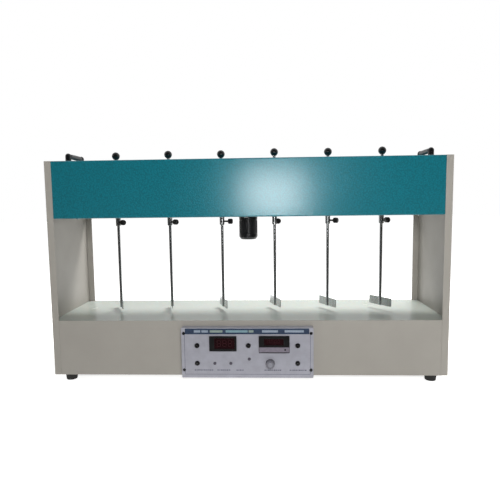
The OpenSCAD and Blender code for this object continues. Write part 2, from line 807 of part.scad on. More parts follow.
// The plate and its folded sides, which stand on the base's front, with a post for each screw
module control_panel() {
    color("#aeb0bb")
    difference() {
        union() {
            on_front([0, panel_h / 2]) difference() {
                linear_extrude(panel_out + panel_t) round_rect(panel_w, panel_h, panel_corner_r);
                translate([0, 0, (panel_out - eps) / 2])
                    cube([panel_w - 2 * panel_t, panel_h - 2 * panel_t, panel_out + eps],
                         center = true);
            }
            at_panel_screws(front_y) cylinder(d = panel_post_d, h = panel_out + panel_t / 2);
        }
        for (p = button_places) on_front(p, panel_back_y)
            panel_hole(button_d + 2 * button_wall + 2 * hole_gap + 2 * run_gap);
        for (p = lamp_places) on_front(p, panel_back_y)
            panel_hole(lamp_d - 2 * lamp_rim + 2 * hole_gap);
        on_front(knob_place, panel_back_y) panel_hole(pot_bush_d + 2 * hole_gap);
        on_front(display_1_place, panel_back_y) display_hole(display_1);
        on_front(display_2_place, panel_back_y) display_hole(display_2);
        at_panel_screws(front_y) screw_hole(2 * (panel_out + panel_t + eps));
    }
}

module panel_hole(d) {
    translate([0, 0, -eps]) cylinder(d = d, h = panel_t + 2 * eps);
}

module display_hole(size) {
    translate([0, 0, panel_t / 2])
        cube([size[0] - 2 * display_inset + fit_gap, size[1] - 2 * display_inset + fit_gap,
              panel_t + 2 * eps], center = true);
}

// A panel meter: a bezel on the plate, a body behind it and a recess for its window
module display_bezel(size, window, shift) {
    difference() {
        union() {
            linear_extrude(bezel_h) round_rect(size[0], size[1], display_corner_r);
            translate([0, 0, -display_body_l / 2])
                cube([size[0] - 2 * display_inset - fit_gap, size[1] - 2 * display_inset - fit_gap,
                      display_body_l + 0.5], center = true);
        }
        translate([shift[0] - window[0] / 2, shift[1] - window[1] / 2,
                   bezel_h - window_t - window_sunk])
            cube([window[0], window[1], window_t + window_sunk + eps]);
    }
}

module display_bezels() {
    color("#161616") {
        on_front(display_1_place, panel_y) display_bezel(display_1, window_1, window_1_shift);
        on_front(display_2_place, panel_y) display_bezel(display_2, window_2, window_2_shift);
    }
}

module display_windows() {
    color("#4a0f16") {
        on_front(display_1_place + window_1_shift, panel_y) display_window(window_1);
        on_front(display_2_place + window_2_shift, panel_y) display_window(window_2);
    }
}

module display_window(size) {
    translate([-size[0] / 2 + run_gap, -size[1] / 2 + run_gap, bezel_h - window_t - window_sunk])
        cube([size[0] - 2 * run_gap, size[1] - 2 * run_gap, window_t]);
}

module indicator_lamps() {
    color("#5b5560")
    for (p = lamp_places) on_front(p, panel_y) {
        cylinder(d = lamp_d, h = lamp_rim_h);
        translate([0, 0, lamp_rim_h]) intersection() {
            sphere(d = lamp_d - 2 * lamp_rim);
            cylinder(d = lamp_d, h = lamp_d);
        }
        translate([0, 0, -lamp_barrel_l])
            cylinder(d = lamp_d - 2 * lamp_rim, h = lamp_barrel_l + lamp_rim_h / 2);
    }
}

// The fixed parts of the push switches and of the speed control
module switch_bodies() {
    barrel_d = button_d + 2 * button_wall + 2 * run_gap;
    color("#1c1c1c") {
        for (p = button_places) on_front(p, panel_y) difference() {
            union() {
                cylinder(d1 = button_ring_d, d2 = button_ring_d - 2 * button_ring_slope, h = ring_h);
                translate([0, 0, -button_barrel_l])
                    cylinder(d = barrel_d, h = button_barrel_l + ring_h / 2);
            }
            translate([0, 0, -button_inside - button_travel - 1])
                cylinder(d = button_d + 2 * run_gap,
                         h = button_inside + button_travel + 1 + ring_h + eps);
        }
        on_front(knob_place, panel_y) difference() {
            union() {
                translate([0, 0, -panel_t - pot_l]) cylinder(d = pot_d, h = pot_l);
                translate([0, 0, -panel_t - pot_l / 2])
                    cylinder(d = pot_bush_d, h = pot_l / 2 + panel_t + pot_proud);
            }
            translate([0, 0, -pot_shaft_in - 1])
                cylinder(d = pot_shaft_d + 2 * run_gap, h = pot_shaft_in + 1 + pot_proud + eps);
        }
    }
}

module push_button(k) {
    color("#1c1c1c") on_front(button_places[k], panel_y) {
        translate([0, 0, -button_inside])
            cylinder(d = button_d, h = button_inside + ring_h + button_h - button_edge);
        translate([0, 0, ring_h + button_h - button_edge])
            cylinder(d1 = button_d, d2 = button_d - 2 * button_edge, h = button_edge);
    }
}

// The knob and the shaft that it sits on
module speed_knob() {
    body_d = speed_knob_d - 2 * knob_skirt_w;
    color("#c6c4c8") on_front(knob_place, panel_y) {
        translate([0, 0, knob_lift]) difference() {
            union() {
                cylinder(d = speed_knob_d, h = knob_skirt_h);
                linear_extrude(speed_knob_h - knob_cap_h) difference() {
                    circle(d = body_d);
                    for (k = [0.5 : knob_flute_n - 0.5]) rotate(k * 360 / knob_flute_n)
                        translate([body_d / 2 + knob_flute_out, 0]) circle(d = knob_flute_d);
                }
                cylinder(d = body_d - 2 * knob_cap_w, h = speed_knob_h);
            }
            translate([0, 0, -eps]) cylinder(d = pot_bush_d + 1, h = pot_proud + 1 + eps);
            translate([0, 0, -eps])
                cylinder(d = pot_shaft_d + 2 * run_gap, h = speed_knob_h - knob_roof_t + eps);
        }
        translate([0, 0, -pot_shaft_in])
            cylinder(d = pot_shaft_d,
                     h = pot_shaft_in + knob_lift + speed_knob_h - knob_roof_t - hub_gap);
    }
}

// ---- Mains inlet and screws ----

module at_inlet_screws() {
    for (s = [-1, 1])
        translate([inlet_x + s * inlet_screw_x, rear_y, inlet_z]) rotate([-90, 0, 0]) children();
}

module mains_inlet() {
    color("#1c1c1c")
    difference() {
        translate([inlet_x, rear_y, inlet_z]) {
            difference() {
                union() {
                    rotate([-90, 0, 0]) linear_extrude(inlet_flange_t)
                        round_rect(inlet_w, inlet_h, inlet_corner_r);
                    block([-inlet_body[0] / 2, -inlet_body[2], -inlet_body[1] / 2],
                          [inlet_body[0] / 2, 0.5, inlet_body[1] / 2]);
                }
                block([-inlet_recess[0] / 2, inlet_flange_t - inlet_recess[2], -inlet_recess[1] / 2],
                      [inlet_recess[0] / 2, inlet_flange_t + eps, inlet_recess[1] / 2]);
            }
            for (p = inlet_pins)
                translate([p[0], inlet_flange_t - inlet_recess[2] + inlet_pin[1] / 2 - 0.5, p[1]])
                    cube(inlet_pin, center = true);
        }
        at_inlet_screws() screw_hole();
    }
}

module case_screws() {
    color("#b9bcbf") {
        at_side_screws() screw();
        at_lip_screws() screw();
        at_rear_screws() screw();
        at_panel_screws(panel_y) screw(panel_t + panel_out + sheet_t + screw_grip);
        translate([0, inlet_flange_t, 0]) at_inlet_screws()
            screw(sheet_t + inlet_flange_t + screw_grip);
    }
}

left_side_panel();
right_side_panel();
base_tray();
base_front_panel();
base_rear_cover();
base_top_plate();
base_lamp();
control_board();
header_hood();
header_base_plate();
upper_bearing_plate();
plate_pillars();
shaft_bushes();
idler_shafts();
rod_guides();
gear_motor();
carry_handles();
feet();
control_panel();
display_bezels();
display_windows();
indicator_lamps();
switch_bodies();
mains_inlet();
case_screws();
drive_gear();
idler_gear(0);  // idler_gear_1
idler_gear(1);  // idler_gear_2
idler_gear(2);  // idler_gear_3
idler_gear(3);  // idler_gear_4
spindle(1);  // spindle_1
spindle(2);  // spindle_2
spindle(3);  // spindle_3
spindle(4);  // spindle_4
spindle(5);  // spindle_5
spindle(6);  // spindle_6
stirrer(1);  // stirrer_1
stirrer(2);  // stirrer_2
stirrer(3);  // stirrer_3
stirrer(4);  // stirrer_4
stirrer(5);  // stirrer_5
stirrer(6);  // stirrer_6
lift_knob(1);  // lift_knob_1
lift_knob(2);  // lift_knob_2
lift_knob(3);  // lift_knob_3
lift_knob(4);  // lift_knob_4
lift_knob(5);  // lift_knob_5
lift_knob(6);  // lift_knob_6
thumb_screw(1);  // thumb_screw_1
thumb_screw(2);  // thumb_screw_2
thumb_screw(3);  // thumb_screw_3
thumb_screw(4);  // thumb_screw_4
thumb_screw(5);  // thumb_screw_5
thumb_screw(6);  // thumb_screw_6
push_button(0);  // push_button_1
push_button(1);  // push_button_2
push_button(2);  // push_button_3
push_button(3);  // push_button_4
push_button(4);  // push_button_5
speed_knob();
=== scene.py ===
"""The looks of a six-place jar tester: a folded steel case, an enamelled header that turns
six clamped stirrers, and a base with a control plate. Every piece has its place and its
size from the solid model that is loaded as the frame. Meshes are built in millimetres."""

import math

import bmesh
import bpy
from bpy.props import FloatProperty, FloatVectorProperty, IntProperty, PointerProperty
from mathutils import Matrix, Vector


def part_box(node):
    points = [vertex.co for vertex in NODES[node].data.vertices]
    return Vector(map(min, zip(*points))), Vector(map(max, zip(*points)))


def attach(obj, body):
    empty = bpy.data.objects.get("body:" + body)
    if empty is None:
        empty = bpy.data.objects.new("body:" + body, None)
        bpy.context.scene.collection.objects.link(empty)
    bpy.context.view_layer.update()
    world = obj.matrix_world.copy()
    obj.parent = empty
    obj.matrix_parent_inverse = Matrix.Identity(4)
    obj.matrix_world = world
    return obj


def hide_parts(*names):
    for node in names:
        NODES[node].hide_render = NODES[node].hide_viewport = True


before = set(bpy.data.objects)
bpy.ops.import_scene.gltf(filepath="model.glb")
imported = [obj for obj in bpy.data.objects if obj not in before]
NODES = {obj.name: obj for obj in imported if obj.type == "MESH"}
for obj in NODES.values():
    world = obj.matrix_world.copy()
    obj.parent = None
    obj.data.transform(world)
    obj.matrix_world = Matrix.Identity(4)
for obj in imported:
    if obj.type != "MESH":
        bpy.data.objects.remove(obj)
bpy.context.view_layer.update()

bl_info = {
    "name": "Jar Tester",
    "version": (1, 0, 0),
    "blender": (4, 5, 0),
    "location": "3D View > Sidebar > Jar Tester",
    "description": "Dresses the solid model of a six-place jar tester",
    "category": "Object",
}

MM = 0.001
PLACES = range(1, 7)


# ---- Places on the frame ----

def box_mm(node):
    """Lowest and highest corner of a solid, in millimetres."""
    low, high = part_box(node)
    return low / MM, high / MM


def rod_axis(place):
    """X and Y of a stirrer rod's axis."""
    low, high = box_mm(f"lift_knob_{place}")
    return (low.x + high.x) / 2, (low.y + high.y) / 2


def span(corners):
    """Lowest and highest corner of a set of places."""
    return (Vector([min(c[k] for c in corners) for k in range(3)]),
            Vector([max(c[k] for c in corners) for k in range(3)]))


def solids_of(node):
    """The corners of each separate solid of a node, in millimetres."""
    bm = copy_of_solid(node)
    met, found = set(), []
    for first in bm.verts:
        if first in met:
            continue
        met.add(first)
        edge, solid = [first], []
        while edge:
            vert = edge.pop()
            solid.append(vert.co.copy())
            for link in vert.link_edges:
                other = link.other_vert(vert)
                if other not in met:
                    met.add(other)
                    edge.append(other)
        found.append(solid)
    bm.free()
    return found


def on_plate(x, z, y):
    """A place on the control plate: local X to the right, local Y up and local Z to the user."""
    return Matrix.Translation((x, y, z)) @ Matrix.Rotation(math.radians(90), 4, "X")


def upright(x, y, z, turn=0.0):
    """A place with local Z up, turned about it by an angle in radians."""
    return Matrix.Translation((x, y, z)) @ Matrix.Rotation(turn, 4, "Z")


# ---- Mesh work ----

def rounded(points, radius, steps=4, closed=True):
    """An outline with its corners turned into arcs; radius is one value or one per corner."""
    count = len(points)
    radii = radius if isinstance(radius, (list, tuple)) else [radius] * count
    made = []
    for k, point in enumerate(points):
        corner = Vector(point)
        if radii[k] <= 0 or (not closed and k in (0, count - 1)):
            made.append(tuple(corner))
            continue
        before, after = Vector(points[k - 1]) - corner, Vector(points[(k + 1) % count]) - corner
        half = before.angle(after) / 2
        if half > math.radians(89):
            made.append(tuple(corner))
            continue
        tangent = min(radii[k] / math.tan(half), before.length * 0.49, after.length * 0.49)
        arc = tangent * math.tan(half)
        middle = corner + (before.normalized() + after.normalized()).normalized() * (
            arc / math.sin(half))
        start, end = corner + before.normalized() * tangent, corner + after.normalized() * tangent
        sweep = (start - middle).angle_signed(end - middle)
        for step in range(steps + 1):
            spoke = start - middle
            spoke.rotate(Matrix.Rotation(-sweep * step / steps, 2))
            made.append(tuple(middle + spoke))
    return made


def rectangle(width, height, radius, centre=(0, 0), steps=4):
    """The outline of a rectangle with round corners."""
    x, y, w, h = centre[0], centre[1], width / 2, height / 2
    return rounded([(x - w, y - h), (x + w, y - h), (x + w, y + h), (x - w, y + h)], radius, steps)


def turned(bm, outline, at, steps=48, ring=False, finish=0):
    """Turns (radius, height) points round local Z; ring joins the last point to the first."""
    rows = []
    for radius, height in outline:
        if radius == 0:
            rows.append([bm.verts.new(at @ Vector((0, 0, height)))])
            continue
        rows.append([
            bm.verts.new(at @ Vector((radius * math.cos(angle), radius * math.sin(angle), height)))
            for angle in (2 * math.pi * k / steps for k in range(steps))])
    for lower, upper in zip(rows, rows[1:] + ([rows[0]] if ring else [])):
        for k in range(steps):
            follow = (k + 1) % steps
            corners = [lower[k % len(lower)], lower[follow % len(lower)],
                       upper[follow % len(upper)], upper[k % len(upper)]]
            unique = list(dict.fromkeys(corners))
            if len(unique) > 2:
                bm.faces.new(unique).material_index = finish


def prism(bm, outline, low, high, at, finish=0):
    """Gives a flat outline its thickness, from low to high on local Z."""
    bottom = [bm.verts.new(at @ Vector((x, y, low))) for x, y in outline]
    top = [bm.verts.new(at @ Vector((x, y, high))) for x, y in outline]
    faces = [bm.faces.new(bottom[::-1]), bm.faces.new(top)]
    for k in range(len(outline)):
        follow = (k + 1) % len(outline)
        faces.append(bm.faces.new((bottom[k], bottom[follow], top[follow], top[k])))
    for face in faces:
        face.material_index = finish


def eased(bm, width, steps=2, sharper_than=35):
    """Takes the sharpness off edges: those that turn by more than an angle in degrees."""
    edges = [e for e in bm.edges
             if len(e.link_faces) == 2 and e.calc_face_angle(0) > math.radians(sharper_than)]
    bmesh.ops.bevel(bm, geom=edges, offset=width, segments=steps, profile=0.5,
                    affect="EDGES", clamp_overlap=True)


def copy_of_solid(node, ease=0.0):
    """A merged copy of a solid's mesh in millimetres, its flat faces whole and its edges eased."""
    bm = bmesh.new()
    bm.from_mesh(NODES[node].data)
    bmesh.ops.remove_doubles(bm, verts=bm.verts, dist=2e-6)
    bmesh.ops.scale(bm, vec=(1 / MM,) * 3, verts=bm.verts)
    bmesh.ops.dissolve_limit(bm, angle_limit=math.radians(0.4), verts=bm.verts, edges=bm.edges)
    if ease:
        eased(bm, ease)
    return bm


def outward(bm):
    """Turns every face of closed shells to the outside."""
    bmesh.ops.recalc_face_normals(bm, faces=bm.faces)


def shade_by_area(made):
    """Lets large faces set the shading where they meet small ones, so flat sheet looks flat."""
    modifier = made.modifiers.new("shading", "WEIGHTED_NORMAL")
    modifier.keep_sharp = True
    depsgraph = bpy.context.evaluated_depsgraph_get()
    mesh, plain = bpy.data.meshes.new_from_object(made.evaluated_get(depsgraph)), made.data
    made.modifiers.remove(modifier)
    made.data = mesh
    bpy.data.meshes.remove(plain)
    mesh.name = made.name


def piece(name, bm, finishes, body, stands_for=(), smooth_under=32):
    """Makes a finished piece of millimetre mesh work, and sets it on its body."""
    bmesh.ops.scale(bm, vec=(MM,) * 3, verts=bm.verts)
    mesh = bpy.data.meshes.new(name)
    bm.to_mesh(mesh)
    bm.free()
    for layer in ("custom_normal", "sharp_edge"):
        if layer in mesh.attributes:
            mesh.attributes.remove(mesh.attributes[layer])
    mesh.materials.clear()
    for finish in finishes if isinstance(finishes, (list, tuple)) else [finishes]:
        mesh.materials.append(finish)
    mesh.polygons.foreach_set("use_smooth", [True] * len(mesh.polygons))
    mesh.set_sharp_from_angle(angle=math.radians(smooth_under))
    made = bpy.data.objects.new(name, mesh)
    bpy.context.scene.collection.objects.link(made)
    shade_by_area(made)
    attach(made, body)
    if stands_for:
        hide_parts(*stands_for)
    return made


def refinish(node, finish):
    """Gives a solid that is shown as it is its finish."""
    for entry in NODES[node].material_slots:
        entry.material = finish


# ---- Node trees ----

def add_node(tree, kind, settings=None, inputs=None):
    """Adds a node with its settings; an input is a value, or the socket that feeds it."""
    made = tree.nodes.new(kind)
    for name, value in (settings or {}).items():
        setattr(made, name, value)
    for name, value in (inputs or {}).items():
        if isinstance(value, bpy.types.NodeSocket):
            tree.links.new(value, made.inputs[name])
        else:
            made.inputs[name].default_value = value
    return made


def maths(tree, operation, first, second):
    """One step of sums on two values or sockets."""
    return add_node(tree, "ShaderNodeMath", {"operation": operation},
                    {0: first, 1: second}).outputs[0]


def ramp(tree, value, start, end, low, high, kind="SMOOTHSTEP"):
    """Runs from low to high while a value goes from start to end."""
    return add_node(tree, "ShaderNodeMapRange", {"interpolation_type": kind}, {
        "Value": value, "From Min": start, "From Max": end,
        "To Min": low, "To Max": high}).outputs[0]


def blank(block):
    """The node tree of a material or a world, with nothing in it yet."""
    block.use_nodes = True
    block.node_tree.nodes.clear()
    return block.node_tree


def new_tree(name, sizes):
    """A geometry tree with a geometry input and output, and one named input for each size."""
    tree = bpy.data.node_groups.new(name, "GeometryNodeTree")
    tree.interface.new_socket("Geometry", in_out="OUTPUT", socket_type="NodeSocketGeometry")
    tree.interface.new_socket("Geometry", in_out="INPUT", socket_type="NodeSocketGeometry")
    for label, kind in sizes.items():
        tree.interface.new_socket(label, in_out="INPUT", socket_type=kind)
    tree.interface.new_socket("Finish", in_out="INPUT", socket_type="NodeSocketMaterial")
    return tree, add_node(tree, "NodeGroupInput").outputs


def close_tree(tree, geometry, finish):
    """Ends a geometry tree: real geometry in its finish."""
    real = add_node(tree, "GeometryNodeRealizeInstances", inputs={"Geometry": geometry})
    done = add_node(tree, "GeometryNodeSetMaterial",
                    inputs={"Geometry": real.outputs[0], "Material": finish})
    add_node(tree, "NodeGroupOutput", inputs={"Geometry": done.outputs[0]})
    return tree


def grown(tree, points, values):
    """Runs a geometry tree on points (with their facing directions) and returns its mesh."""
    carrier = bpy.data.meshes.new("carrier")
    carrier.from_pydata([Vector(place) * MM for place, _ in points], [], [])
    facing = carrier.attributes.new("facing", "FLOAT_VECTOR", "POINT")
    for k, (_, direction) in enumerate(points):
        facing.data[k].vector = direction
    holder = bpy.data.objects.new("holder", carrier)
    bpy.context.scene.collection.objects.link(holder)
    modifier = holder.modifiers.new("maker", "NODES")
    modifier.node_group = tree
    for item in tree.interface.items_tree:
        if item.in_out == "INPUT" and item.name in values:
            modifier[item.identifier] = values[item.name]
    depsgraph = bpy.context.evaluated_depsgraph_get()
    mesh = bpy.data.meshes.new_from_object(holder.evaluated_get(depsgraph))
    holder.modifiers.remove(modifier)
    bpy.data.objects.remove(holder)
    return mesh


def absorb(bm, mesh, at=Matrix(), finish=0):
    """Adds a grown mesh, which is in metres, to millimetre mesh work."""
    mesh.transform(at @ Matrix.Scale(1 / MM, 4))
    before = len(bm.faces)
    bm.from_mesh(mesh)
    bm.faces.ensure_lookup_table()
    for face in bm.faces[before:]:
        face.material_index = finish


def screw_tree():
    """Pan-head screws with a cross recess, one on each point and square to its facing."""
    tree, size = new_tree("Pan head screws", {
        "Head diameter": "NodeSocketFloat", "Head height": "NodeSocketFloat"})
    radius = maths(tree, "MULTIPLY", size["Head diameter"], 0.5)
    crown = maths(tree, "MULTIPLY", radius, 0.74)
    head = add_node(tree, "GeometryNodeMeshCone", inputs={
        "Vertices": 28, "Radius Top": crown, "Radius Bottom": radius,
        "Depth": size["Head height"]}).outputs["Mesh"]
    # The recess is a cross of two bars, as long as the radius and a quarter of it wide
    arm = maths(tree, "MULTIPLY", radius, 1.05)
    slit = maths(tree, "MULTIPLY", radius, 0.24)
    deep = maths(tree, "MULTIPLY", size["Head height"], 1.3)
    bars = []
    for x, y in ((arm, slit), (slit, arm)):
        bar_size = add_node(tree, "ShaderNodeCombineXYZ", inputs={0: x, 1: y, 2: deep})
        bars.append(add_node(tree, "GeometryNodeMeshCube",
                             inputs={"Size": bar_size.outputs[0]}).outputs["Mesh"])
    cross = add_node(tree, "GeometryNodeMeshBoolean", {"operation": "UNION", "solver": "EXACT"})
    for bar in bars:
        tree.links.new(bar, cross.inputs[1])
    up = add_node(tree, "ShaderNodeCombineXYZ", inputs={2: size["Head height"]})
    raised = add_node(tree, "GeometryNodeTransform",
                      inputs={"Geometry": cross.outputs[0], "Translation": up.outputs[0]})
    cut = add_node(tree, "GeometryNodeMeshBoolean",
                   {"operation": "DIFFERENCE", "solver": "EXACT"}, {0: head})
    tree.links.new(raised.outputs[0], cut.inputs[1])
    facing = add_node(tree, "GeometryNodeInputNamedAttribute",
                      {"data_type": "FLOAT_VECTOR"}, {"Name": "facing"})
    stand = add_node(tree, "FunctionNodeAlignRotationToVector", {"axis": "Z"},
                     {"Vector": facing.outputs[0]})
    spin = add_node(tree, "FunctionNodeRandomValue", {"data_type": "FLOAT"},
                    {"Max": math.pi, "Seed": 5})
    twist = add_node(tree, "ShaderNodeCombineXYZ", inputs={2: spin.outputs[1]})
    turned_to = add_node(tree, "FunctionNodeRotateRotation", {"rotation_space": "LOCAL"},
                         {0: stand.outputs[0], 1: twist.outputs[0]})
    heads = add_node(tree, "GeometryNodeInstanceOnPoints", inputs={
        "Points": size["Geometry"], "Instance": cut.outputs[0], "Rotation": turned_to.outputs[0]})
    return close_tree(tree, heads.outputs[0], size["Finish"])


def louvre_tree():
    """A row of pressed scoops, open at their lower side, upwards from each point."""
    tree, size = new_tree("Pressed louvres", {
        "Count": "NodeSocketInt", "Step": "NodeSocketFloat", "Width": "NodeSocketFloat",
        "Height": "NodeSocketFloat", "Depth": "NodeSocketFloat"})
    ball = add_node(tree, "GeometryNodeMeshUVSphere",
                    inputs={"Segments": 32, "Rings": 16, "Radius": 1.0}).outputs["Mesh"]
    where = add_node(tree, "GeometryNodeInputPosition")
    parts = add_node(tree, "ShaderNodeSeparateXYZ", inputs={0: where.outputs[0]})
    inside = add_node(tree, "FunctionNodeCompare", {"operation": "LESS_THAN"},
                      {0: parts.outputs["Y"], 1: -0.01})
    below = add_node(tree, "FunctionNodeCompare", {"operation": "LESS_THAN"},
                     {0: parts.outputs["Z"], 1: -0.01})
    either = add_node(tree, "FunctionNodeBooleanMath", {"operation": "OR"},
                      {0: inside.outputs[0], 1: below.outputs[0]})
    scoop = add_node(tree, "GeometryNodeDeleteGeometry", {"domain": "POINT"},
                     {"Geometry": ball, "Selection": either.outputs[0]})
    half = maths(tree, "MULTIPLY", size["Width"], 0.5)
    shape = add_node(tree, "ShaderNodeCombineXYZ",
                     inputs={0: half, 1: size["Depth"], 2: size["Height"]})
    sized = add_node(tree, "GeometryNodeTransform",
                     inputs={"Geometry": scoop.outputs[0], "Scale": shape.outputs[0]})
    rise = add_node(tree, "ShaderNodeCombineXYZ", inputs={2: size["Step"]})
    column = add_node(tree, "GeometryNodeMeshLine",
                      inputs={"Count": size["Count"], "Offset": rise.outputs[0]})
    stack = add_node(tree, "GeometryNodeInstanceOnPoints",
                     inputs={"Points": column.outputs[0], "Instance": sized.outputs[0]})
    groups = add_node(tree, "GeometryNodeInstanceOnPoints",
                      inputs={"Points": size["Geometry"], "Instance": stack.outputs[0]})
    return close_tree(tree, groups.outputs[0], size["Finish"])


def ridge_tree():
    """Straight ridges side by side round an axis, as on a knurled head or a finned motor."""
    tree, size = new_tree("Ridges round an axis", {
        "Count": "NodeSocketInt", "Radius": "NodeSocketFloat", "Length": "NodeSocketFloat",
        "Ridge diameter": "NodeSocketFloat"})
    circle = add_node(tree, "GeometryNodeMeshCircle",
                      inputs={"Vertices": size["Count"], "Radius": size["Radius"]})
    ridge = add_node(tree, "GeometryNodeMeshCylinder", inputs={
        "Vertices": 8, "Radius": maths(tree, "MULTIPLY", size["Ridge diameter"], 0.5),
        "Depth": size["Length"]})
    ring = add_node(tree, "GeometryNodeInstanceOnPoints",
                    inputs={"Points": circle.outputs[0], "Instance": ridge.outputs["Mesh"]})
    return close_tree(tree, ring.outputs[0], size["Finish"])


# ---- Finishes ----

def linear(code):
    """An sRGB hex colour as linear values with alpha."""
    values = [int(code[k:k + 2], 16) / 255 for k in (1, 3, 5)]
    return [v / 12.92 if v <= 0.04045 else ((v + 0.055) / 1.055) ** 2.4 for v in values] + [1.0]


def finish(name, tones, patch, rough, relief=None, stretch=(1, 1, 1), **surface):
    """A material from two tones that drift over patches of a size in millimetres, roughness
    between two values over the same patches, and relief as (grain in mm, depth in mm)."""
    made = bpy.data.materials.new(name)
    tree = blank(made)
    place = add_node(tree, "ShaderNodeTexCoord").outputs["Object"]
    along = add_node(tree, "ShaderNodeMapping", inputs={"Vector": place, "Scale": stretch})
    drift = add_node(tree, "ShaderNodeTexNoise",
                     inputs={"Vector": along.outputs[0], "Scale": 1 / (patch * MM), "Detail": 4.0})
    # Noise keeps near its middle, so the ends of the ramps are set inside its range
    spread = ramp(tree, drift.outputs[0], 0.32, 0.68, 0.0, 1.0, "LINEAR")
    colour = add_node(tree, "ShaderNodeMix", {"data_type": "RGBA"},
                      {0: spread, 6: linear(tones[0]), 7: linear(tones[1])}).outputs[2]
    roughness = ramp(tree, drift.outputs[0], 0.3, 0.7, *rough, "LINEAR")
    shader = add_node(tree, "ShaderNodeBsdfPrincipled",
                      inputs={"Base Color": colour, "Roughness": roughness, **surface})
    if relief:
        grain = add_node(tree, "ShaderNodeTexNoise", inputs={
            "Vector": along.outputs[0], "Scale": 1 / (relief[0] * MM), "Detail": 2.0})
        bump = add_node(tree, "ShaderNodeBump", inputs={
            "Height": grain.outputs[0], "Distance": relief[1] * MM, "Strength": 1.0})
        tree.links.new(bump.outputs[0], shader.inputs["Normal"])
    add_node(tree, "ShaderNodeOutputMaterial", inputs={"Surface": shader.outputs[0]})
    return made


def hammered_enamel(name, valley, hill, dimple):
    """Hammer-finish enamel, sprayed and stoved: darker in the valleys between hills a few
    millimetres across and lighter on the hills, and the gloss breaks up into small round sparks."""
    made = bpy.data.materials.new(name)
    tree = blank(made)
    place = add_node(tree, "ShaderNodeTexCoord").outputs["Object"]
    wander = add_node(tree, "ShaderNodeTexNoise", inputs={
        "Vector": place, "Scale": 1 / (dimple * 1.5 * MM), "Detail": 1.0})
    bent = add_node(tree, "ShaderNodeVectorMath", {"operation": "MULTIPLY_ADD"},
                    {0: wander.outputs["Color"], 1: (dimple * MM * 0.8,) * 3, 2: place})
    cells = add_node(tree, "ShaderNodeTexVoronoi", {"feature": "SMOOTH_F1"}, {
        "Vector": bent.outputs[0], "Scale": 1 / (dimple * MM), "Smoothness": 0.7})
    hills = ramp(tree, cells.outputs["Distance"], 0.12, 0.75, 1.0, 0.0)
    colour = add_node(tree, "ShaderNodeMix", {"data_type": "RGBA"},
                      {0: hills, 6: linear(valley), 7: linear(hill)}).outputs[2]
    bump = add_node(tree, "ShaderNodeBump", inputs={
        "Height": hills, "Distance": 0.2 * MM, "Strength": 1.0})
    shader = add_node(tree, "ShaderNodeBsdfPrincipled", inputs={
        "Base Color": colour, "Roughness": 0.4, "IOR": 1.42, "Coat Weight": 1.0,
        "Coat Roughness": 0.3, "Normal": bump.outputs[0]})
    add_node(tree, "ShaderNodeOutputMaterial", inputs={"Surface": shader.outputs[0]})
    return made


FINISHES = {}


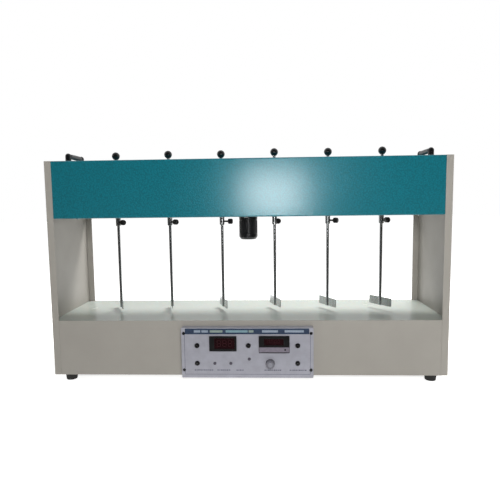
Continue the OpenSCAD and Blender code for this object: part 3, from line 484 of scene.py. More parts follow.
def make_finishes():
    """Mixes every finish once."""
    panel, case = bpy.context.scene.jar_panel, bpy.context.scene.jar_case
    FINISHES.update({
        # Powder coat on folded steel: satin, with an orange peel about a millimetre across
        "powder_coat": finish("Powder coat cream", ("#9e9a93", "#9b9790"), 60, (0.42, 0.5),
                              (1.4, 0.02), IOR=1.5),
        "hammered": hammered_enamel("Hammered enamel teal", "#035f6c", "#047280",
                                    case.hammer_dimple / MM),
        # Cast acrylic sheet with a satin face, pale enough to show what settles in a jar
        "acrylic": finish("Cast acrylic opal", ("#bfc3bb", "#babeb6"), 160, (0.22, 0.28),
                          IOR=1.49, **{"Specular IOR Level": 0.25, "Subsurface Weight": 0.08}),
        # Cold rolled plate, zinc plated: pale grey, dull, rolled along its length
        "zinc_plate": finish("Zinc plated plate", ("#a5a9ab", "#b4b6b6"), 14, (0.32, 0.46),
                             (1.2, 0.01), (0.2, 1, 1), Metallic=1.0),
        # Stainless bar, ground and polished along its length
        "stainless": finish("Ground stainless", ("#b9bbbc", "#a9abac"), 6, (0.2, 0.3),
                            (0.5, 0.012), (1, 1, 0.05), Metallic=1.0),
        # Rolled stainless sheet for the blades, finely brushed
        "blade_steel": finish("Brushed stainless sheet", ("#aeb0ae", "#9fa19f"), 5, (0.26, 0.36),
                              (0.6, 0.01), (0.15, 0.15, 1), Metallic=1.0),
        # Phenolic resin, moulded and tumbled: black, hard and very glossy
        "phenolic": finish("Phenolic black", ("#0e0e0f", "#131314"), 30, (0.1, 0.16), IOR=1.6),
        # Moulded nylon: black with a fine spark-eroded grain
        "nylon": finish("Moulded nylon black", ("#0b0b0c", "#111112"), 12, (0.34, 0.42),
                        (0.5, 0.03), IOR=1.53),
        # Stoved black enamel on the motor's shell: smooth with a soft shine
        "black_enamel": finish("Stoved enamel black", ("#0e0f11", "#151618"), 25, (0.3, 0.38),
                               (1.6, 0.015), IOR=1.5),
        # Die-cast cover, left as cast: grey and grainy
        "casting": finish("Die casting grey", ("#6f7072", "#5c5d5f"), 7, (0.42, 0.55),
                          (1.0, 0.04), Metallic=0.8),
        # Moulded rubber, a little dusty
        "rubber": finish("Moulded rubber", ("#1b1b1b", "#292827"), 9, (0.7, 0.85), (0.8, 0.05)),
        # Aluminium plate, etched, anodised and screened in a lilac grey
        "screened_plate": finish("Screened aluminium lilac grey", (panel_hex(panel), "#9d9da6"),
                                 18, (0.34, 0.44), (0.7, 0.012), Metallic=0.15, IOR=1.5),
        # Screen inks: flat, a little raised
        "navy_ink": finish("Screen ink navy", ("#27354b", "#303e55"), 6, (0.45, 0.55)),
        "grey_ink": finish("Screen ink grey", ("#4d4f5e", "#585a69"), 5, (0.5, 0.6)),
        "mauve_ink": finish("Screen ink mauve", ("#7c7681", "#746e79"), 6, (0.45, 0.55)),
        "pale_ink": finish("Screen ink pale", ("#8f9aa9", "#808d9d"), 6, (0.45, 0.55)),
        "teal_ink": finish("Screen ink teal", ("#78959e", "#6e8b95"), 6, (0.45, 0.55)),
        "green_ink": finish("Screen ink green", ("#87968f", "#7d8d86"), 6, (0.45, 0.55)),
        # Red and smoked acrylic filters over unlit digits: dark, with a clean gloss
        "red_filter": finish("Red acrylic filter", ("#22060b", "#1c0509"), 20, (0.07, 0.1),
                             IOR=1.49),
        "digit": finish("Unlit digit segments", ("#2c0c12", "#270a0f"), 3, (0.3, 0.4)),
        # Plated steel screw heads
        "plated": finish("Bright zinc plating", ("#c3c5c6", "#aeb0b0"), 3, (0.2, 0.34),
                         (0.5, 0.006), Metallic=1.0),
        # Sintered bronze, oil filled
        "bronze": finish("Sintered bronze", ("#8a6a3e", "#6f5430"), 2, (0.4, 0.5),
                         (0.5, 0.02), Metallic=1.0),
        # Hobbed steel, lightly oiled
        "gear_steel": finish("Hobbed steel", ("#85898c", "#74787b"), 4, (0.25, 0.4),
                             (0.6, 0.01), Metallic=1.0),
        # ABS, moulded with a satin grain
        "abs": finish("Moulded ABS mid grey", ("#74737b", "#6c6b73"), 15, (0.34, 0.42),
                      (0.6, 0.015), IOR=1.53),
        "dark_abs": finish("Moulded ABS dark grey", ("#55545a", "#4a494f"), 10, (0.38, 0.46),
                           (0.6, 0.015), IOR=1.53),
        # Pressed-in cap of the speed knob: pale moulding, satin
        "cap_grey": finish("Moulded cap pale grey", ("#8c8c94", "#85858d"), 8, (0.3, 0.4),
                           IOR=1.5),
        # Indicator lens, unlit
        "lens": finish("Indicator lens unlit", ("#5d5863", "#544f5a"), 4, (0.08, 0.12), IOR=1.49),
        # Glass-fibre board under a green mask
        "board": finish("Solder mask green", ("#1f5a34", "#1a4d2c"), 5, (0.3, 0.4), (0.9, 0.02)),
        # White enamel on the lamp fitting behind the base's top
        "white_enamel": finish("Stoved enamel white", ("#e3e4e0", "#dadbd6"), 40, (0.25, 0.32),
                               (1.5, 0.01)),
    })


def panel_hex(panel):
    """The control plate's colour as a hex code."""
    return "#" + "".join(f"{round(v * 255):02x}" for v in panel.plate_colour)


# ---- Settings ----

class CaseSettings(bpy.types.PropertyGroup):
    """Sizes of the case's finish and edges."""
    edge: FloatProperty(name="Sheet edge", description="Radius left on the cut edges of sheet",
                        default=0.0004, min=0.0001, max=0.001, unit="LENGTH", precision=5)
    hammer_dimple: FloatProperty(name="Hammer dimple", description="Width of the enamel's hills",
                                 default=0.0036, min=0.001, max=0.01, unit="LENGTH", precision=4)
    louvre_depth: FloatProperty(name="Louvre depth", description="How far a louvre stands proud",
                                default=0.0028, min=0.001, max=0.004, unit="LENGTH", precision=4)


class DriveSettings(bpy.types.PropertyGroup):
    """Sizes of the stirrers and their knobs."""
    knurls: IntProperty(name="Ridges", description="Ridges round a thumb screw's head",
                        default=30, min=12, max=60)
    motor_ribs: IntProperty(name="Motor ribs", description="Ribs round the motor's shell",
                            default=40, min=12, max=72)
    blade_corner: FloatProperty(name="Blade corner", description="Corner radius of a blade",
                                default=0.002, min=0.0, max=0.008, unit="LENGTH", precision=4)


class PanelSettings(bpy.types.PropertyGroup):
    """Colours and sizes of the control plate."""
    plate_colour: FloatVectorProperty(name="Plate", description="Colour of the control plate",
                                      size=3, subtype="COLOR_GAMMA", min=0.0, max=1.0,
                                      default=(0.65, 0.65, 0.69))
    flutes: IntProperty(name="Flutes", description="Flutes round the speed knob",
                        default=10, min=6, max=24)


class StageSettings(bpy.types.PropertyGroup):
    """The camera's place and the light."""
    camera_place: FloatVectorProperty(name="Camera", description="Place of the camera",
                                      size=3, subtype="TRANSLATION", unit="LENGTH",
                                      default=(0.05898, -1.27011, 0.44926))
    camera_turn: FloatProperty(name="Turn", description="Turn of the camera about the upright",
                               subtype="ANGLE", unit="ROTATION", default=math.radians(2.459))
    camera_tilt: FloatProperty(name="Tilt", description="Tilt of the camera below the level",
                               subtype="ANGLE", unit="ROTATION", default=math.radians(5.622))
    camera_roll: FloatProperty(name="Roll", description="Roll of the camera about its own axis",
                               subtype="ANGLE", unit="ROTATION", default=math.radians(-0.713))
    lens: FloatProperty(name="Lens", description="Focal length on a 36 mm wide sensor, in mm",
                        default=33.926, min=10.0, max=100.0)
    window: FloatProperty(name="Window", description="Power of the light the gloss mirrors",
                          default=0.14, min=0.0, max=20.0, subtype="POWER")
    key: FloatProperty(name="Key", description="Power of the soft light beside the camera",
                       default=15.0, min=0.0, max=200.0, subtype="POWER")
    sides: FloatProperty(name="Sides", description="Power of each soft light beside the case",
                         default=8.0, min=0.0, max=200.0, subtype="POWER")
    strip: FloatProperty(name="Strip", description="Power of the long light high at the back",
                         default=31.0, min=0.0, max=500.0, subtype="POWER")
    room: FloatProperty(name="Room", description="Strength of the soft light from all round",
                        default=0.14, min=0.0, max=2.0)


# ---- Operators ----

class JAR_OT_stage(bpy.types.Operator):
    """Sets the floor, the lights, the pale world and the camera"""
    bl_idname = "jar.stage"
    bl_label = "Stage"

    def execute(self, context):
        stage = context.scene.jar_stage
        self.add_camera(context, stage)
        self.add_floor(context)
        self.add_world(context, stage)
        # The window is there for the gloss alone, and the soft lights for the colours alone.
        # It stays under the header's top and shines in a narrow cone, or the top and the base's
        # plate would mirror it to a view from behind
        window = self.add_light(context, "Window", (0.07, -0.6, 0.478), (0.07, 0.0, 0.478),
                                (0.19, 0.156), stage.window)
        window.data.spread = math.radians(50)
        window.visible_diffuse = False
        soft = [self.add_light(context, "Key", (0.18, -1.5, 0.65), (0.0, -0.1, 0.3), (0.5, 0.5),
                               stage.key)]
        for name, x in (("Left side", -1.6), ("Right side", 1.6)):
            soft.append(self.add_light(context, name, (x, -0.1, 0.9), (0.0, 0.0, 0.3),
                                       (0.5, 0.5), stage.sides))
        soft.append(self.add_light(context, "Strip", (0.4, 0.75, 1.45), (0.1, 0.0, 0.25),
                                   (1.0, 0.12), stage.strip))
        for light in soft:
            light.visible_glossy = False
        return {"FINISHED"}

    def add_camera(self, context, stage):
        """The camera at the place and the turn of the settings."""
        lens = bpy.data.cameras.new("Camera")
        lens.sensor_width = 36.0
        lens.lens = stage.lens
        lens.clip_start = 0.05
        lens.clip_end = 40.0
        camera = bpy.data.objects.new("Camera", lens)
        context.scene.collection.objects.link(camera)
        camera.matrix_world = (
            Matrix.Translation(stage.camera_place)
            @ Matrix.Rotation(stage.camera_turn, 4, "Z")
            @ Matrix.Rotation(math.radians(90) - stage.camera_tilt, 4, "X")
            @ Matrix.Rotation(stage.camera_roll, 4, "Z"))
        context.scene.camera = camera

    def add_floor(self, context):
        """A round sheet of white paper, out past the edges of every view."""
        mesh = bpy.data.meshes.new("floor")
        bm = bmesh.new()
        bmesh.ops.create_circle(bm, cap_ends=True, segments=96, radius=14)
        bm.to_mesh(mesh)
        bm.free()
        floor = bpy.data.objects.new("floor", mesh)
        context.scene.collection.objects.link(floor)
        paper = bpy.data.materials.new("White paper sweep")
        tree = blank(paper)
        matt = add_node(tree, "ShaderNodeBsdfDiffuse", inputs={"Color": linear("#f4f4f2")})
        path = add_node(tree, "ShaderNodeLightPath").outputs
        clear = maths(tree, "MAXIMUM", path["Is Camera Ray"], path["Is Transmission Ray"])
        seen = maths(tree, "MAXIMUM", clear, path["Is Glossy Ray"])
        # White right out to the edges, and a little less round the object, for its shadow
        place = add_node(tree, "ShaderNodeNewGeometry").outputs["Position"]
        away = add_node(tree, "ShaderNodeVectorMath", {"operation": "LENGTH"}, {0: place})
        white = ramp(tree, away.outputs["Value"], 0.6, 1.3, 0.74, 1.0)
        glow = add_node(tree, "ShaderNodeEmission", inputs={
            "Strength": maths(tree, "MULTIPLY", seen, white)}).outputs[0]
        lit = add_node(tree, "ShaderNodeAddShader", inputs={0: matt.outputs[0], 1: glow})
        # Gloss mirrors less of the paper towards the dim side of the room
        depth = add_node(tree, "ShaderNodeSeparateXYZ", inputs={0: place}).outputs["Y"]
        dim = maths(tree, "MULTIPLY", path["Is Glossy Ray"],
                    ramp(tree, depth, -0.4, -0.1, 0.94, 0.0))
        both = add_node(tree, "ShaderNodeMixShader", inputs={0: dim, 1: lit.outputs[0]})
        add_node(tree, "ShaderNodeOutputMaterial", inputs={"Surface": both.outputs[0]})
        mesh.materials.append(paper)

    def add_world(self, context, stage):
        """White to the camera, a dim room to gloss, and soft light all round."""
        world = bpy.data.worlds.new("Pale studio")
        context.scene.world = world
        tree = blank(world)
        path = add_node(tree, "ShaderNodeLightPath").outputs
        # The studio behind the user is dim, and pale everywhere else
        way = add_node(tree, "ShaderNodeTexCoord")
        parts = add_node(tree, "ShaderNodeSeparateXYZ", inputs={0: way.outputs["Generated"]})
        mirrored = maths(tree, "MULTIPLY", path["Is Glossy Ray"],
                         ramp(tree, parts.outputs["Y"], -0.8, 0.2, 0.05, 0.8))
        clear = maths(tree, "MAXIMUM", path["Is Camera Ray"], path["Is Transmission Ray"])
        room = maths(tree, "MULTIPLY", path["Is Diffuse Ray"], stage.room)
        strength = maths(tree, "MAXIMUM", maths(tree, "MAXIMUM", clear, mirrored), room)
        light = add_node(tree, "ShaderNodeBackground", inputs={
            "Color": (1.0, 1.0, 1.0, 1.0), "Strength": strength})
        add_node(tree, "ShaderNodeOutputWorld", inputs={"Surface": light.outputs[0]})

    def add_light(self, context, name, place, target, size, power):
        """A rectangular light of a power in watts, aimed at a place."""
        lamp = bpy.data.lights.new(name, "AREA")
        lamp.shape = "RECTANGLE"
        lamp.size, lamp.size_y = size
        lamp.energy = power
        made = bpy.data.objects.new(name, lamp)
        made.visible_camera = False
        context.scene.collection.objects.link(made)
        way = Vector(target) - Vector(place)
        made.matrix_world = (Matrix.Translation(place)
                             @ way.to_track_quat("-Z", "Y").to_matrix().to_4x4())
        return made


class JAR_OT_case(bpy.types.Operator):
    """Folds the side panels and the base's sheets, and presses the louvres"""
    bl_idname = "jar.case"
    bl_label = "Case and base"

    def execute(self, context):
        case = context.scene.jar_case
        coat = FINISHES["powder_coat"]
        for node in ("left_side_panel", "right_side_panel", "base_tray",
                     "base_front_panel", "base_rear_cover"):
            bm = copy_of_solid(node, case.edge / MM)
            piece(f"{node}_sheet", bm, coat, "frame", [node])
        self.press_louvres(case)
        low, high = box_mm("base_top_plate")
        bm = bmesh.new()
        middle = (low + high) / 2
        prism(bm, rectangle(high.x - low.x, high.y - low.y, 1.5, (middle.x, middle.y)),
              low.z, high.z, Matrix())
        eased(bm, 0.7)
        piece("base_top_sheet", bm, FINISHES["acrylic"], "frame", ["base_top_plate"])
        return {"FINISHED"}

    def press_louvres(self, case):
        """Two groups, each from its first slot up, over the slots in the rear cover."""
        low, high = box_mm("base_rear_cover")
        width, step, first, count = 56.0, 9.0, 36.4, 9
        points = [((x + width / 2, high.y, low.z + first), (0, 1, 0))
                  for x in (low.x + 152, high.x - 352)]
        bm = bmesh.new()
        absorb(bm, grown(louvre_tree(), points, {
            "Count": count, "Step": step * MM, "Width": (width + 2) * MM, "Height": 4.2 * MM,
            "Depth": case.louvre_depth, "Finish": FINISHES["powder_coat"]}))
        piece("louvre_scoops", bm, FINISHES["powder_coat"], "frame")


class JAR_OT_header(bpy.types.Operator):
    """Makes the header's hood, its plates, and the carrying handles"""
    bl_idname = "jar.header"
    bl_label = "Header and handles"

    def execute(self, context):
        case = context.scene.jar_case
        piece("hood_sheet", copy_of_solid("header_hood", case.edge / MM), FINISHES["hammered"],
              "frame", ["header_hood"])
        piece("hood_floor", copy_of_solid("header_base_plate", case.edge / MM),
              FINISHES["zinc_plate"], "frame", ["header_base_plate"])
        piece("bearing_plate", copy_of_solid("upper_bearing_plate", case.edge / MM),
              FINISHES["zinc_plate"], "frame", ["upper_bearing_plate"])
        self.add_handles()
        return {"FINISHED"}

    def add_handles(self):
        """Two handles, each a grip between two posts."""
        low, high = box_mm("carry_handles")
        post, flare = 7.5, 1.5
        grip_z = high.z - post
        posts, grips = bmesh.new(), bmesh.new()
        # A post flares at its foot and ends in a ball that the grip goes through
        outline = [(0, 0), *rounded([(post + flare, 0), (post + flare, 1.6), (post, 5.5)], 0.8,
                                    3, closed=False)]
        ball = [(post * math.cos(a), grip_z - low.z + post * math.sin(a))
                for a in (math.radians(d) for d in range(0, 90, 9))]
        for s in (-1, 1):
            x = s * (high.x - post - flare)
            for y in (low.y + post + flare, high.y - post - flare):
                turned(posts, outline + ball + [(0, high.z - low.z)], upright(x, y, low.z))
            across = Matrix.Translation((x, (low.y + high.y) / 2, grip_z)) @ Matrix.Rotation(
                math.radians(90), 4, "X")
            half = (high.y - low.y) / 2 - 2 * post - 1
            turned(grips, rounded([(0, -half - 6), (4.5, -half - 6), (4.5, -half), (6.4, -half),
                                   (6.8, 0), (6.4, half), (4.5, half), (4.5, half + 6),
                                   (0, half + 6)], [0, 0, 0, 1.2, 8, 1.2, 0, 0, 0], 3,
                                  closed=False), across, 40)
        outward(posts)
        outward(grips)
        piece("handle_posts", posts, FINISHES["nylon"], "frame", ["carry_handles"])
        piece("handle_grips", grips, FINISHES["black_enamel"], "frame")


class JAR_OT_feet(bpy.types.Operator):
    """Moulds the four rubber feet"""
    bl_idname = "jar.feet"
    bl_label = "Feet"

    def execute(self, context):
        low, high = box_mm("feet")
        radius, taper, bore = 15.0, 1.5, 4.5
        height = high.z - low.z
        bm = bmesh.new()
        outline = rounded([(0, height - 6), (bore, height - 6), (bore, 0), (radius - taper, 0),
                           (radius, height), (0, height)], [0, 0, 1.0, 1.6, 0.8, 0], 3,
                          closed=False)
        for x in (low.x + radius, high.x - radius):
            for y in (low.y + radius, high.y - radius):
                turned(bm, outline, upright(x, y, low.z))
        outward(bm)
        piece("rubber_feet", bm, FINISHES["rubber"], "frame", ["feet"])
        return {"FINISHED"}


class JAR_OT_motor(bpy.types.Operator):
    """Makes the geared motor: a ribbed shell and a cast end cover"""
    bl_idname = "jar.motor"
    bl_label = "Motor"

    def execute(self, context):
        drive = context.scene.jar_drive
        low, high = box_mm("gear_motor")
        radius, tall = (high.x - low.x) / 2, high.z - low.z
        at = upright((low.x + high.x) / 2, (low.y + high.y) / 2, low.z)
        # What hangs below the header, with its ribs between a lower and an upper plain band
        length = box_mm("header_hood")[0].z - low.z
        cover_h, ribs_from, ribs_h = 6, 17, length - 30
        groove, spigot, bore = radius - 0.9, 12, 4.1
        shell, cover = bmesh.new(), bmesh.new()
        turned(shell, rounded([(radius - 2, cover_h), (radius, cover_h), (radius, ribs_from - 1),
                               (groove, ribs_from), (groove, length - 12), (radius, length - 11),
                               (radius, length), (radius, length + 2), (spigot, length + 2),
                               (spigot, tall), (bore, tall), (bore, length - 15),
                               (radius - 2, length - 15)],
                              [0, 1.2, 0.3, 0.3, 0.3, 0.3, 0, 0, 0, 0, 0, 0, 0], 3),
               at, 72, ring=True)
        absorb(shell, grown(ridge_tree(), [((0, 0, 0), (0, 0, 1))], {
            "Count": drive.motor_ribs, "Radius": (radius - 1.3) * MM, "Length": ribs_h * MM,
            "Ridge diameter": 2.2 * MM, "Finish": FINISHES["black_enamel"]}),
            at @ Matrix.Translation((0, 0, ribs_from + ribs_h / 2)))
        turned(cover, rounded([(0, 0), (radius - 5, 0), (radius - 2.5, 3), (radius - 1.5, cover_h),
                               (0, cover_h)], [0, 1.5, 1.0, 0.3, 0], 3, closed=False), at, 72)
        outward(cover)
        outward(shell)
        piece("motor_shell", shell, FINISHES["black_enamel"], "frame", ["gear_motor"])
        piece("motor_cover", cover, FINISHES["casting"], "frame")
        return {"FINISHED"}


class JAR_OT_stirrers(bpy.types.Operator):
    """Makes the rods with their blades, the ball knobs, the thumb screws and the guide collars"""
    bl_idname = "jar.stirrers"
    bl_label = "Stirrers"

    def execute(self, context):
        drive = context.scene.jar_drive
        for place in PLACES:
            self.add_stirrer(place, drive)
            self.add_knob(place)
            self.add_thumb_screw(place, drive)
        self.add_guides()
        return {"FINISHED"}

    def blade_turn(self, place):
        """Direction and distance of the blade's farthest corner, seen from the rod."""
        x, y = rod_axis(place)
        mesh = NODES[f"stirrer_{place}"].data
        far = max(mesh.vertices, key=lambda v: (v.co.x / MM - x) ** 2 + (v.co.y / MM - y) ** 2)
        reach = Vector((far.co.x / MM - x, far.co.y / MM - y))
        return math.atan2(reach.y, reach.x), reach.length

    def add_stirrer(self, place, drive):
        """A rod, and the blade that is welded to its foot."""
        low, high = box_mm(f"stirrer_{place}")
        x, y = rod_axis(place)
        corner_angle, reach = self.blade_turn(place)
        # The rod's radius, half the blade's thickness, and the blade's height
        rod, thick, tall = 4.0, 0.8, 22.5
        half = math.sqrt(reach ** 2 - thick ** 2)
        side = 1 if self.is_ahead(place, corner_angle, half, thick) else -1
        turn = corner_angle - side * math.atan2(thick, half)
        bm = bmesh.new()
        length = high.z - low.z
        turned(bm, [(0, 0), (rod, 0), (rod, length), (0, length)], upright(x, y, low.z), 32)
        lie = upright(x, y, low.z, turn) @ Matrix.Rotation(math.radians(90), 4, "X")
        corner = drive.blade_corner / MM
        prism(bm, rectangle(2 * half, tall, corner, (0, tall / 2), 3), -thick, thick, lie, 1)
        # Weld beads where the blade meets the rod
        for s in (-1, 1):
            for t in (-1, 1):
                bead = upright(x, y, low.z, turn) @ Matrix.Translation((s * 4.1, t * 0.9, 0))
                turned(bm, [(0, 1.0), (0.6, 1.4), (0.75, 3), (0.75, tall - 3), (0.6, tall - 1.4),
                            (0, tall - 1.0)], bead, 8)
        outward(bm)
        piece(f"stirrer_{place}_rod", bm, [FINISHES["stainless"], FINISHES["blade_steel"]],
              f"stirrer_{place}", [f"stirrer_{place}"])

    def is_ahead(self, place, angle, half, thick):
        """True if the far corner is the blade's corner that lies ahead of its middle line."""
        x, y = rod_axis(place)
        turn = angle - math.atan2(thick, half)
        mirrored = (half * math.cos(turn) + thick * math.sin(turn),
                    half * math.sin(turn) - thick * math.cos(turn))
        near = min((Vector((v.co.x / MM - x, v.co.y / MM - y)) - Vector(mirrored)).length
                   for v in NODES[f"stirrer_{place}"].data.vertices)
        return near < 0.2

    def add_knob(self, place):
        """A ball knob on a short neck, bored for the rod's end."""
        low, high = box_mm(f"lift_knob_{place}")
        x, y = rod_axis(place)
        radius = (high.x - low.x) / 2
        top = high.z - low.z
        middle = top - radius
        foot = radius * 0.6
        start = math.asin((1.2 - middle) / radius) if middle > 1.2 else -math.acos(foot / radius)
        ball = [(radius * math.cos(a), middle + radius * math.sin(a)) for a in
                (start + (math.pi / 2 - start) * k / 20 for k in range(20))]
        # Up the bore for the rod's end, out under the neck, and over the ball
        bore, deep = 4.05, 12.2
        outline = [(0, deep), (bore, deep), (bore, 0.4), (4.6, 0), (foot, 0), (foot, 0.6)]
        outline += [p for p in ball if p[1] > 0.8 and (p[0] >= foot or p[1] > middle)]
        outline.append((0, top))
        bm = bmesh.new()
        turned(bm, outline, upright(x, y, low.z), 48)
        # The moulding line round the ball's middle
        turned(bm, [(radius - 0.3, middle - 0.25), (radius, middle - 0.08),
                    (radius, middle + 0.08), (radius - 0.3, middle + 0.25)],
               upright(x, y, low.z), 48, ring=True)
        outward(bm)
        piece(f"lift_knob_{place}_ball", bm, FINISHES["phenolic"], f"stirrer_{place}",
              [f"lift_knob_{place}"], smooth_under=50)

    def add_thumb_screw(self, place, drive):
        """A knurled head on a steel stem that reaches to the rod."""
        node = f"thumb_screw_{place}"
        low, high = box_mm(node)
        x, y = rod_axis(place)
        z = (low.z + high.z) / 2
        middle = Vector(((low.x + high.x) / 2, (low.y + high.y) / 2))
        angle = math.atan2(middle.y - y, middle.x - x)
        radius, start, end = (high.z - low.z) / 2, 16.5, 29.5
        at = (upright(x, y, z, angle) @ Matrix.Translation((start, 0, 0))
              @ Matrix.Rotation(math.radians(90), 4, "Y"))
        length = end - start
        core = radius - 0.7
        bm = bmesh.new()
        turned(bm, rounded([(0, 0), (core - 1.2, 0), (core, 1.2), (core, length - 1.2),
                            (core - 1.2, length), (core - 3, length), (core - 3.6, length - 0.6),
                            (0, length - 0.6)], [0, 0.3, 0.3, 0.3, 0.3, 0.2, 0.2, 0], 2,
                           closed=False), at, 40)
        absorb(bm, grown(ridge_tree(), [((0, 0, 0), (0, 0, 1))], {
            "Count": drive.knurls, "Radius": core * MM, "Length": (length - 3.2) * MM,
            "Ridge diameter": 1.3 * MM, "Finish": FINISHES["nylon"]}),
            at @ Matrix.Translation((0, 0, length / 2)))
        # The steel stem, from the rod to the head
        stem, tip = 2.5, -start + 4.2
        turned(bm, [(0, tip), (1.9, tip), (stem, -start + 4.9), (stem, 0.2), (0, 0.2)], at, 24,
               finish=1)
        outward(bm)
        piece(f"{node}_head", bm, [FINISHES["nylon"], FINISHES["plated"]], node, [node])

    def add_guides(self):
        """A flanged collar round each rod, in the header's top."""
        low, high = box_mm("rod_guides")
        bore, deep, proud = 4.08, 8, 2
        bm = bmesh.new()
        for place in PLACES:
            x, y = rod_axis(place)
            outer = (high.y - low.y) / 2
            body = outer - 3.5
            turned(bm, rounded([(bore, -deep), (body, -deep), (body, 0), (outer, 0),
                                (outer, 0.6), (outer - 1.5, proud), (bore, proud)],
                               [0.2, 0.2, 0, 0.1, 0.4, 0.5, 0.4], 3),
                   upright(x, y, low.z + deep), 48, ring=True)
        outward(bm)
        piece("rod_guide_collars", bm, FINISHES["nylon"], "frame", ["rod_guides"])


class JAR_OT_controls(bpy.types.Operator):
    """Makes the control plate with its print, the meters, buttons, lamps and speed knob"""
    bl_idname = "jar.controls"
    bl_label = "Control plate"

    def execute(self, context):
        panel = context.scene.jar_panel
        piece("control_plate", copy_of_solid("control_panel", 0.3), FINISHES["screened_plate"],
              "frame", ["control_panel"])
        self.face = box_mm("control_panel")[0].y
        self.base = box_mm("control_panel")[0].z
        self.print_plate()
        self.add_meters()
        self.add_buttons()
        self.add_lamps()
        self.add_speed_knob(panel)
        return {"FINISHED"}

    def printed(self, name, cells, ink, thick=0.05):
        """Flat printed areas on the plate, each (x, z, width, height) round its middle."""
        bm = bmesh.new()
        for x, z, width, height in cells:
            prism(bm, rectangle(width, height, min(width, height) * 0.12, steps=2), 0, thick,
                  on_plate(x, self.base + z, self.face))
        piece(name, bm, FINISHES[ink], "frame")

    def print_plate(self):
        """A strip with cells along the top, a border, and the legends as dashes."""
        self.printed("print_strip", [(-0.5, 118.2, 308, 14.5)], "navy_ink")
        for name, ink, cells in (
            ("ends", "pale_ink", ((-124, 16), (-105, 16), (56.9, 39), (116.5, 47))),
            ("middle", "teal_ink", ((-25.5, 54.5),)),
            ("left", "green_ink", ((-76.4, 31.5), (10.2, 12))),
        ):
            self.printed(f"print_strip_{name}", [(x, 118.3, w, 5.8) for x, w in cells], ink, 0.08)
        line = 0.9
        self.printed("print_border", [(-156, 60, line, 102), (156, 60, line, 102),
                                      (0, 9, 312, line)], "grey_ink")
        # The legends under the controls, as rows of short dashes
        dashes = []
        for start, end in ((-132, -87), (-75, -46), (-27.5, -9.9), (42.5, 85), (105, 145)):
            x, k = start, 0
            while x < end:
                width = (3.6, 2.4, 4.4)[k % 3]
                dashes.append((x + width / 2, 19.7, width, 2.5))
                x, k = x + width + 1.3, k + 1
        self.printed("print_legends", dashes, "grey_ink")

    def add_meters(self):
        """Two meters behind red filters, and the strip under the second one."""
        piece("meter_bezels", copy_of_solid("display_bezels", 0.5), FINISHES["nylon"], "frame",
              ["display_bezels"])
        piece("meter_filters", copy_of_solid("display_windows", 0.2), FINISHES["red_filter"],
              "frame", ["display_windows"])
        windows = sorted((span(solid) for solid in solids_of("display_windows")),
                         key=lambda box: box[0].x)
        bm = bmesh.new()
        # Unlit seven-segment digits behind the filters
        for (low, high), count in zip(windows, (3, 4)):
            tall = (high.z - low.z) * 0.56
            for k in range(count):
                x = (low.x + high.x) / 2 + (k - (count - 1) / 2) * tall * 0.92
                self.add_digit(bm, x, (low.z + high.z) / 2, tall, low.y)
        piece("meter_digits", bm, FINISHES["digit"], "frame")
        # The grey strip under the second window, with a small setting screw at its right
        bezel = max((span(solid) for solid in solids_of("display_bezels")),
                    key=lambda box: box[1].x)
        low, high = bezel
        x = (low.x + high.x) / 2
        strip_h, strip_z, screw_x = 12.5, low.z + 8.5, x + 27
        strip, screw = bmesh.new(), bmesh.new()
        prism(strip, rectangle(high.x - low.x - 2, strip_h, 0.8), 0, 0.15,
              on_plate(x, strip_z, low.y))
        turned(screw, [(0, 0), (2.2, 0), (2.2, 0.25), (1.8, 0.4), (0, 0.4)],
               on_plate(screw_x, strip_z, low.y), 24)
        piece("meter_strip", strip, FINISHES["mauve_ink"], "frame")
        piece("meter_screw", screw, FINISHES["nylon"], "frame")

    def add_digit(self, bm, x, z, tall, front):
        """One digit of seven segments, round its middle."""
        wide, bar = tall * 0.55, tall * 0.09
        segments = [(0, tall / 2, wide, bar), (0, 0, wide, bar), (0, -tall / 2, wide, bar)]
        segments += [(s * wide / 2, t * tall / 4, bar, tall / 2) for s in (-1, 1) for t in (-1, 1)]
        for dx, dz, width, height in segments:
            prism(bm, rectangle(width - bar * 0.9 if width > bar else width,
                                height - bar * 0.9 if height > bar else height, bar * 0.4,
                                steps=1), 0, 0.02, on_plate(x + dx, z + dz, front))

    def add_buttons(self):
        """Push buttons with dished tops, in the rings of their switches."""
        piece("switch_rings", copy_of_solid("switch_bodies", 0.2), FINISHES["nylon"], "frame",
              ["switch_bodies"])
        for k in range(1, 6):
            node = f"push_button_{k}"
            low, high = box_mm(node)
            radius = (high.x - low.x) / 2
            tall = high.y - low.y
            bm = bmesh.new()
            dish = [(radius - 0.9, tall), (radius * 0.6, tall - 0.25), (0, tall - 0.35)]
            turned(bm, rounded([(0, 0), (radius, 0), (radius, tall - 0.7)] + dish,
                               [0, 0.3, 0.5, 0.3, 0, 0], 3, closed=False),
                   on_plate((low.x + high.x) / 2, (low.z + high.z) / 2, high.y), 40)
            outward(bm)
            piece(f"{node}_cap", bm, FINISHES["phenolic"], node, [node])

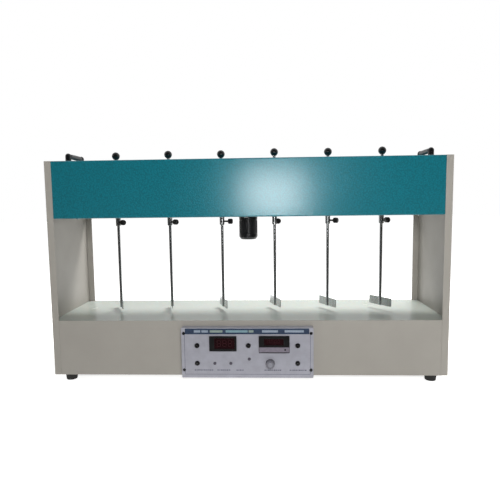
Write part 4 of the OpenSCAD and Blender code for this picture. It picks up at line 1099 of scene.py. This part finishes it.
    def add_lamps(self):
        """Small lamps, each a collar with a domed lens."""
        bezels, lenses = bmesh.new(), bmesh.new()
        middles = {tuple(round(v, 1) for v in (sum(span(solid), Vector()) / 2).xz)
                   for solid in solids_of("indicator_lamps")}
        body, rim, lens, deep = 3.0, 4.0, 2.85, 12
        for x, z in sorted(middles):
            at = on_plate(x, z, self.face)
            turned(bezels, rounded([(body, -deep), (body, -0.01), (rim, -0.01), (rim, 1.0),
                                    (3.5, 1.6), (2.9, 1.3), (2.6, -deep)],
                                   [0, 0, 0.1, 0.3, 0.3, 0.2, 0], 2), at, 32, ring=True)
            dome = [(lens * math.cos(a), 1.2 + 1.75 * math.sin(a))
                    for a in (math.radians(d) for d in range(0, 90, 10))]
            turned(lenses, [(0, 0.4), (lens, 0.4)] + dome + [(0, 2.95)], at, 32)
        outward(bezels)
        outward(lenses)
        piece("lamp_bezels", bezels, FINISHES["dark_abs"], "frame", ["indicator_lamps"])
        piece("lamp_lenses", lenses, FINISHES["lens"], "frame")

    def add_speed_knob(self, panel):
        """A fluted knob on a skirt, with a pressed-in cap and a pointer."""
        node = "speed_knob"
        low, high = box_mm(node)
        x, z = (low.x + high.x) / 2, (low.z + high.z) / 2
        radius = (high.x - low.x) / 2
        back = self.face - 0.5
        tall = back - low.y
        at = on_plate(x, z, back)
        skirt, body, cap = bmesh.new(), bmesh.new(), bmesh.new()
        hole, skirt_h, hub = 3.1, 2.6, 3.0
        turned(skirt, rounded([(hole, 0), (radius, 0), (radius, 2), (radius - 2.4, skirt_h),
                               (hole, skirt_h)], [0, 0.3, 0.6, 0.3, 0], 3), at, 64, ring=True)
        grip, flute = radius - 1.2, 1.3
        count = panel.flutes
        flutes = [Matrix.Rotation(a, 2) @ Vector((
            grip - flute * max(0.0, math.cos(count * a)) ** 4, 0))
            for a in (2 * math.pi * k / (count * 16) for k in range(count * 16))]
        prism(body, flutes, 2.4, tall - 0.9, at)
        eased(body, 0.6, 3, 60)
        # The hub reaches back through the plate, over the shaft it turns
        turned(body, [(0, -9.5), (hub, -9.5), (hub, skirt_h), (0, skirt_h)], at, 24)
        inset = grip * 0.55
        turned(cap, rounded([(0, tall - 1.2), (inset, tall - 1.2), (inset, tall - 0.1),
                             (inset - 0.5, tall), (0, tall - 0.25)], [0, 0, 0.2, 0.2, 0], 2,
                            closed=False), at, 48)
        for part in (skirt, body, cap):
            outward(part)
        piece("speed_knob_skirt", skirt, FINISHES["dark_abs"], node, [node])
        piece("speed_knob_grip", body, FINISHES["abs"], node)
        piece("speed_knob_cap", cap, FINISHES["cap_grey"], node)
        mark = bmesh.new()
        prism(mark, rectangle(0.9, 2.6, 0.3, (0, grip - 2.8), 2), tall - 1.0, tall - 0.85, at)
        piece("speed_knob_mark", mark, FINISHES["navy_ink"], node)


class JAR_OT_fasteners(bpy.types.Operator):
    """Sets the cross-recessed screws and the mains inlet"""
    bl_idname = "jar.fasteners"
    bl_label = "Screws and inlet"

    def execute(self, context):
        tree, seats = screw_tree(), [self.seat_of(solid) for solid in solids_of("case_screws")]
        for name, ink, slot, chosen in (
            ("panel_screw_heads", "black_enamel", "black_paint", [s for s in seats if s[1][1] < 0]),
            ("case_screw_heads", "plated", "bright_steel", [s for s in seats if s[1][1] >= 0]),
        ):
            bm = bmesh.new()
            absorb(bm, grown(tree, chosen, {"Head diameter": 8 * MM, "Head height": 2.19 * MM,
                                            "Finish": FINISHES[ink]}))
            piece(name, bm, FINISHES[ink], "frame",
                  ["case_screws"] if name == "case_screw_heads" else ())
        piece("inlet_body", copy_of_solid("mains_inlet", 0.3), FINISHES["nylon"], "frame",
              ["mains_inlet"])
        return {"FINISHED"}

    def seat_of(self, corners):
        """The seat and the direction of a screw, read from the solid screw's head."""
        low, high = span(corners)
        axis = max(range(3), key=lambda k: (high - low)[k])
        place = (low + high) / 2
        way = Vector()
        way[axis] = 1
        # A head's rim is 4 mm from its axis, and nothing else of the screw reaches so far
        rim = [corner[axis] for corner in corners if (corner - place).cross(way).length > 3.9]
        seat = sum(rim) / len(rim)
        if seat < place[axis]:
            way[axis] = -1
        place[axis] = seat
        return tuple(place), tuple(way)


class JAR_OT_workings(bpy.types.Operator):
    """Finishes the gear train, the bearings, the lamp and the board inside the case"""
    bl_idname = "jar.workings"
    bl_label = "Workings"

    def execute(self, context):
        for node, name in {
            "plate_pillars": "plated", "idler_shafts": "plated", "shaft_bushes": "bronze",
            "drive_gear": "gear_steel", "control_board": "board", "base_lamp": "white_enamel",
            **{f"idler_gear_{k}": "gear_steel" for k in range(1, 5)},
            **{f"spindle_{k}": "stainless" for k in PLACES},
        }.items():
            refinish(node, FINISHES[name])
        return {"FINISHED"}


class JAR_PT_sidebar(bpy.types.Panel):
    """Lists the jar tester's pieces and their sizes"""
    bl_label = "Jar Tester"
    bl_idname = "JAR_PT_sidebar"
    bl_space_type = "VIEW_3D"
    bl_region_type = "UI"
    bl_category = "Jar Tester"

    def draw(self, context):
        scene = context.scene
        for title, group, operators in (
            ("Case", scene.jar_case, ("case", "header", "feet")),
            ("Drive", scene.jar_drive, ("motor", "stirrers", "workings")),
            ("Controls", scene.jar_panel, ("controls", "fasteners")),
            ("Stage", scene.jar_stage, ("stage",)),
        ):
            box = self.layout.box()
            box.label(text=title)
            for name in group.bl_rna.properties.keys():
                if name not in ("name", "rna_type"):
                    box.prop(group, name)
            for name in operators:
                box.operator(f"jar.{name}")


SETTINGS = {"jar_case": CaseSettings, "jar_drive": DriveSettings, "jar_panel": PanelSettings,
            "jar_stage": StageSettings}
OPERATORS = (JAR_OT_stage, JAR_OT_case, JAR_OT_header, JAR_OT_feet, JAR_OT_motor,
             JAR_OT_stirrers, JAR_OT_controls, JAR_OT_fasteners, JAR_OT_workings)


def register():
    for item in (*SETTINGS.values(), *OPERATORS, JAR_PT_sidebar):
        bpy.utils.register_class(item)
    for name, group in SETTINGS.items():
        setattr(bpy.types.Scene, name, PointerProperty(type=group))


def unregister():
    for name in SETTINGS:
        delattr(bpy.types.Scene, name)
    for item in reversed((*SETTINGS.values(), *OPERATORS, JAR_PT_sidebar)):
        bpy.utils.unregister_class(item)


def main():
    """Makes the whole scene."""
    register()
    bpy.context.scene.view_settings.view_transform = "Standard"
    make_finishes()
    bpy.ops.jar.case()
    bpy.ops.jar.header()
    bpy.ops.jar.feet()
    bpy.ops.jar.motor()
    bpy.ops.jar.stirrers()
    bpy.ops.jar.controls()
    bpy.ops.jar.fasteners()
    bpy.ops.jar.workings()
    bpy.ops.jar.stage()


if __name__ == "__main__":
    main()
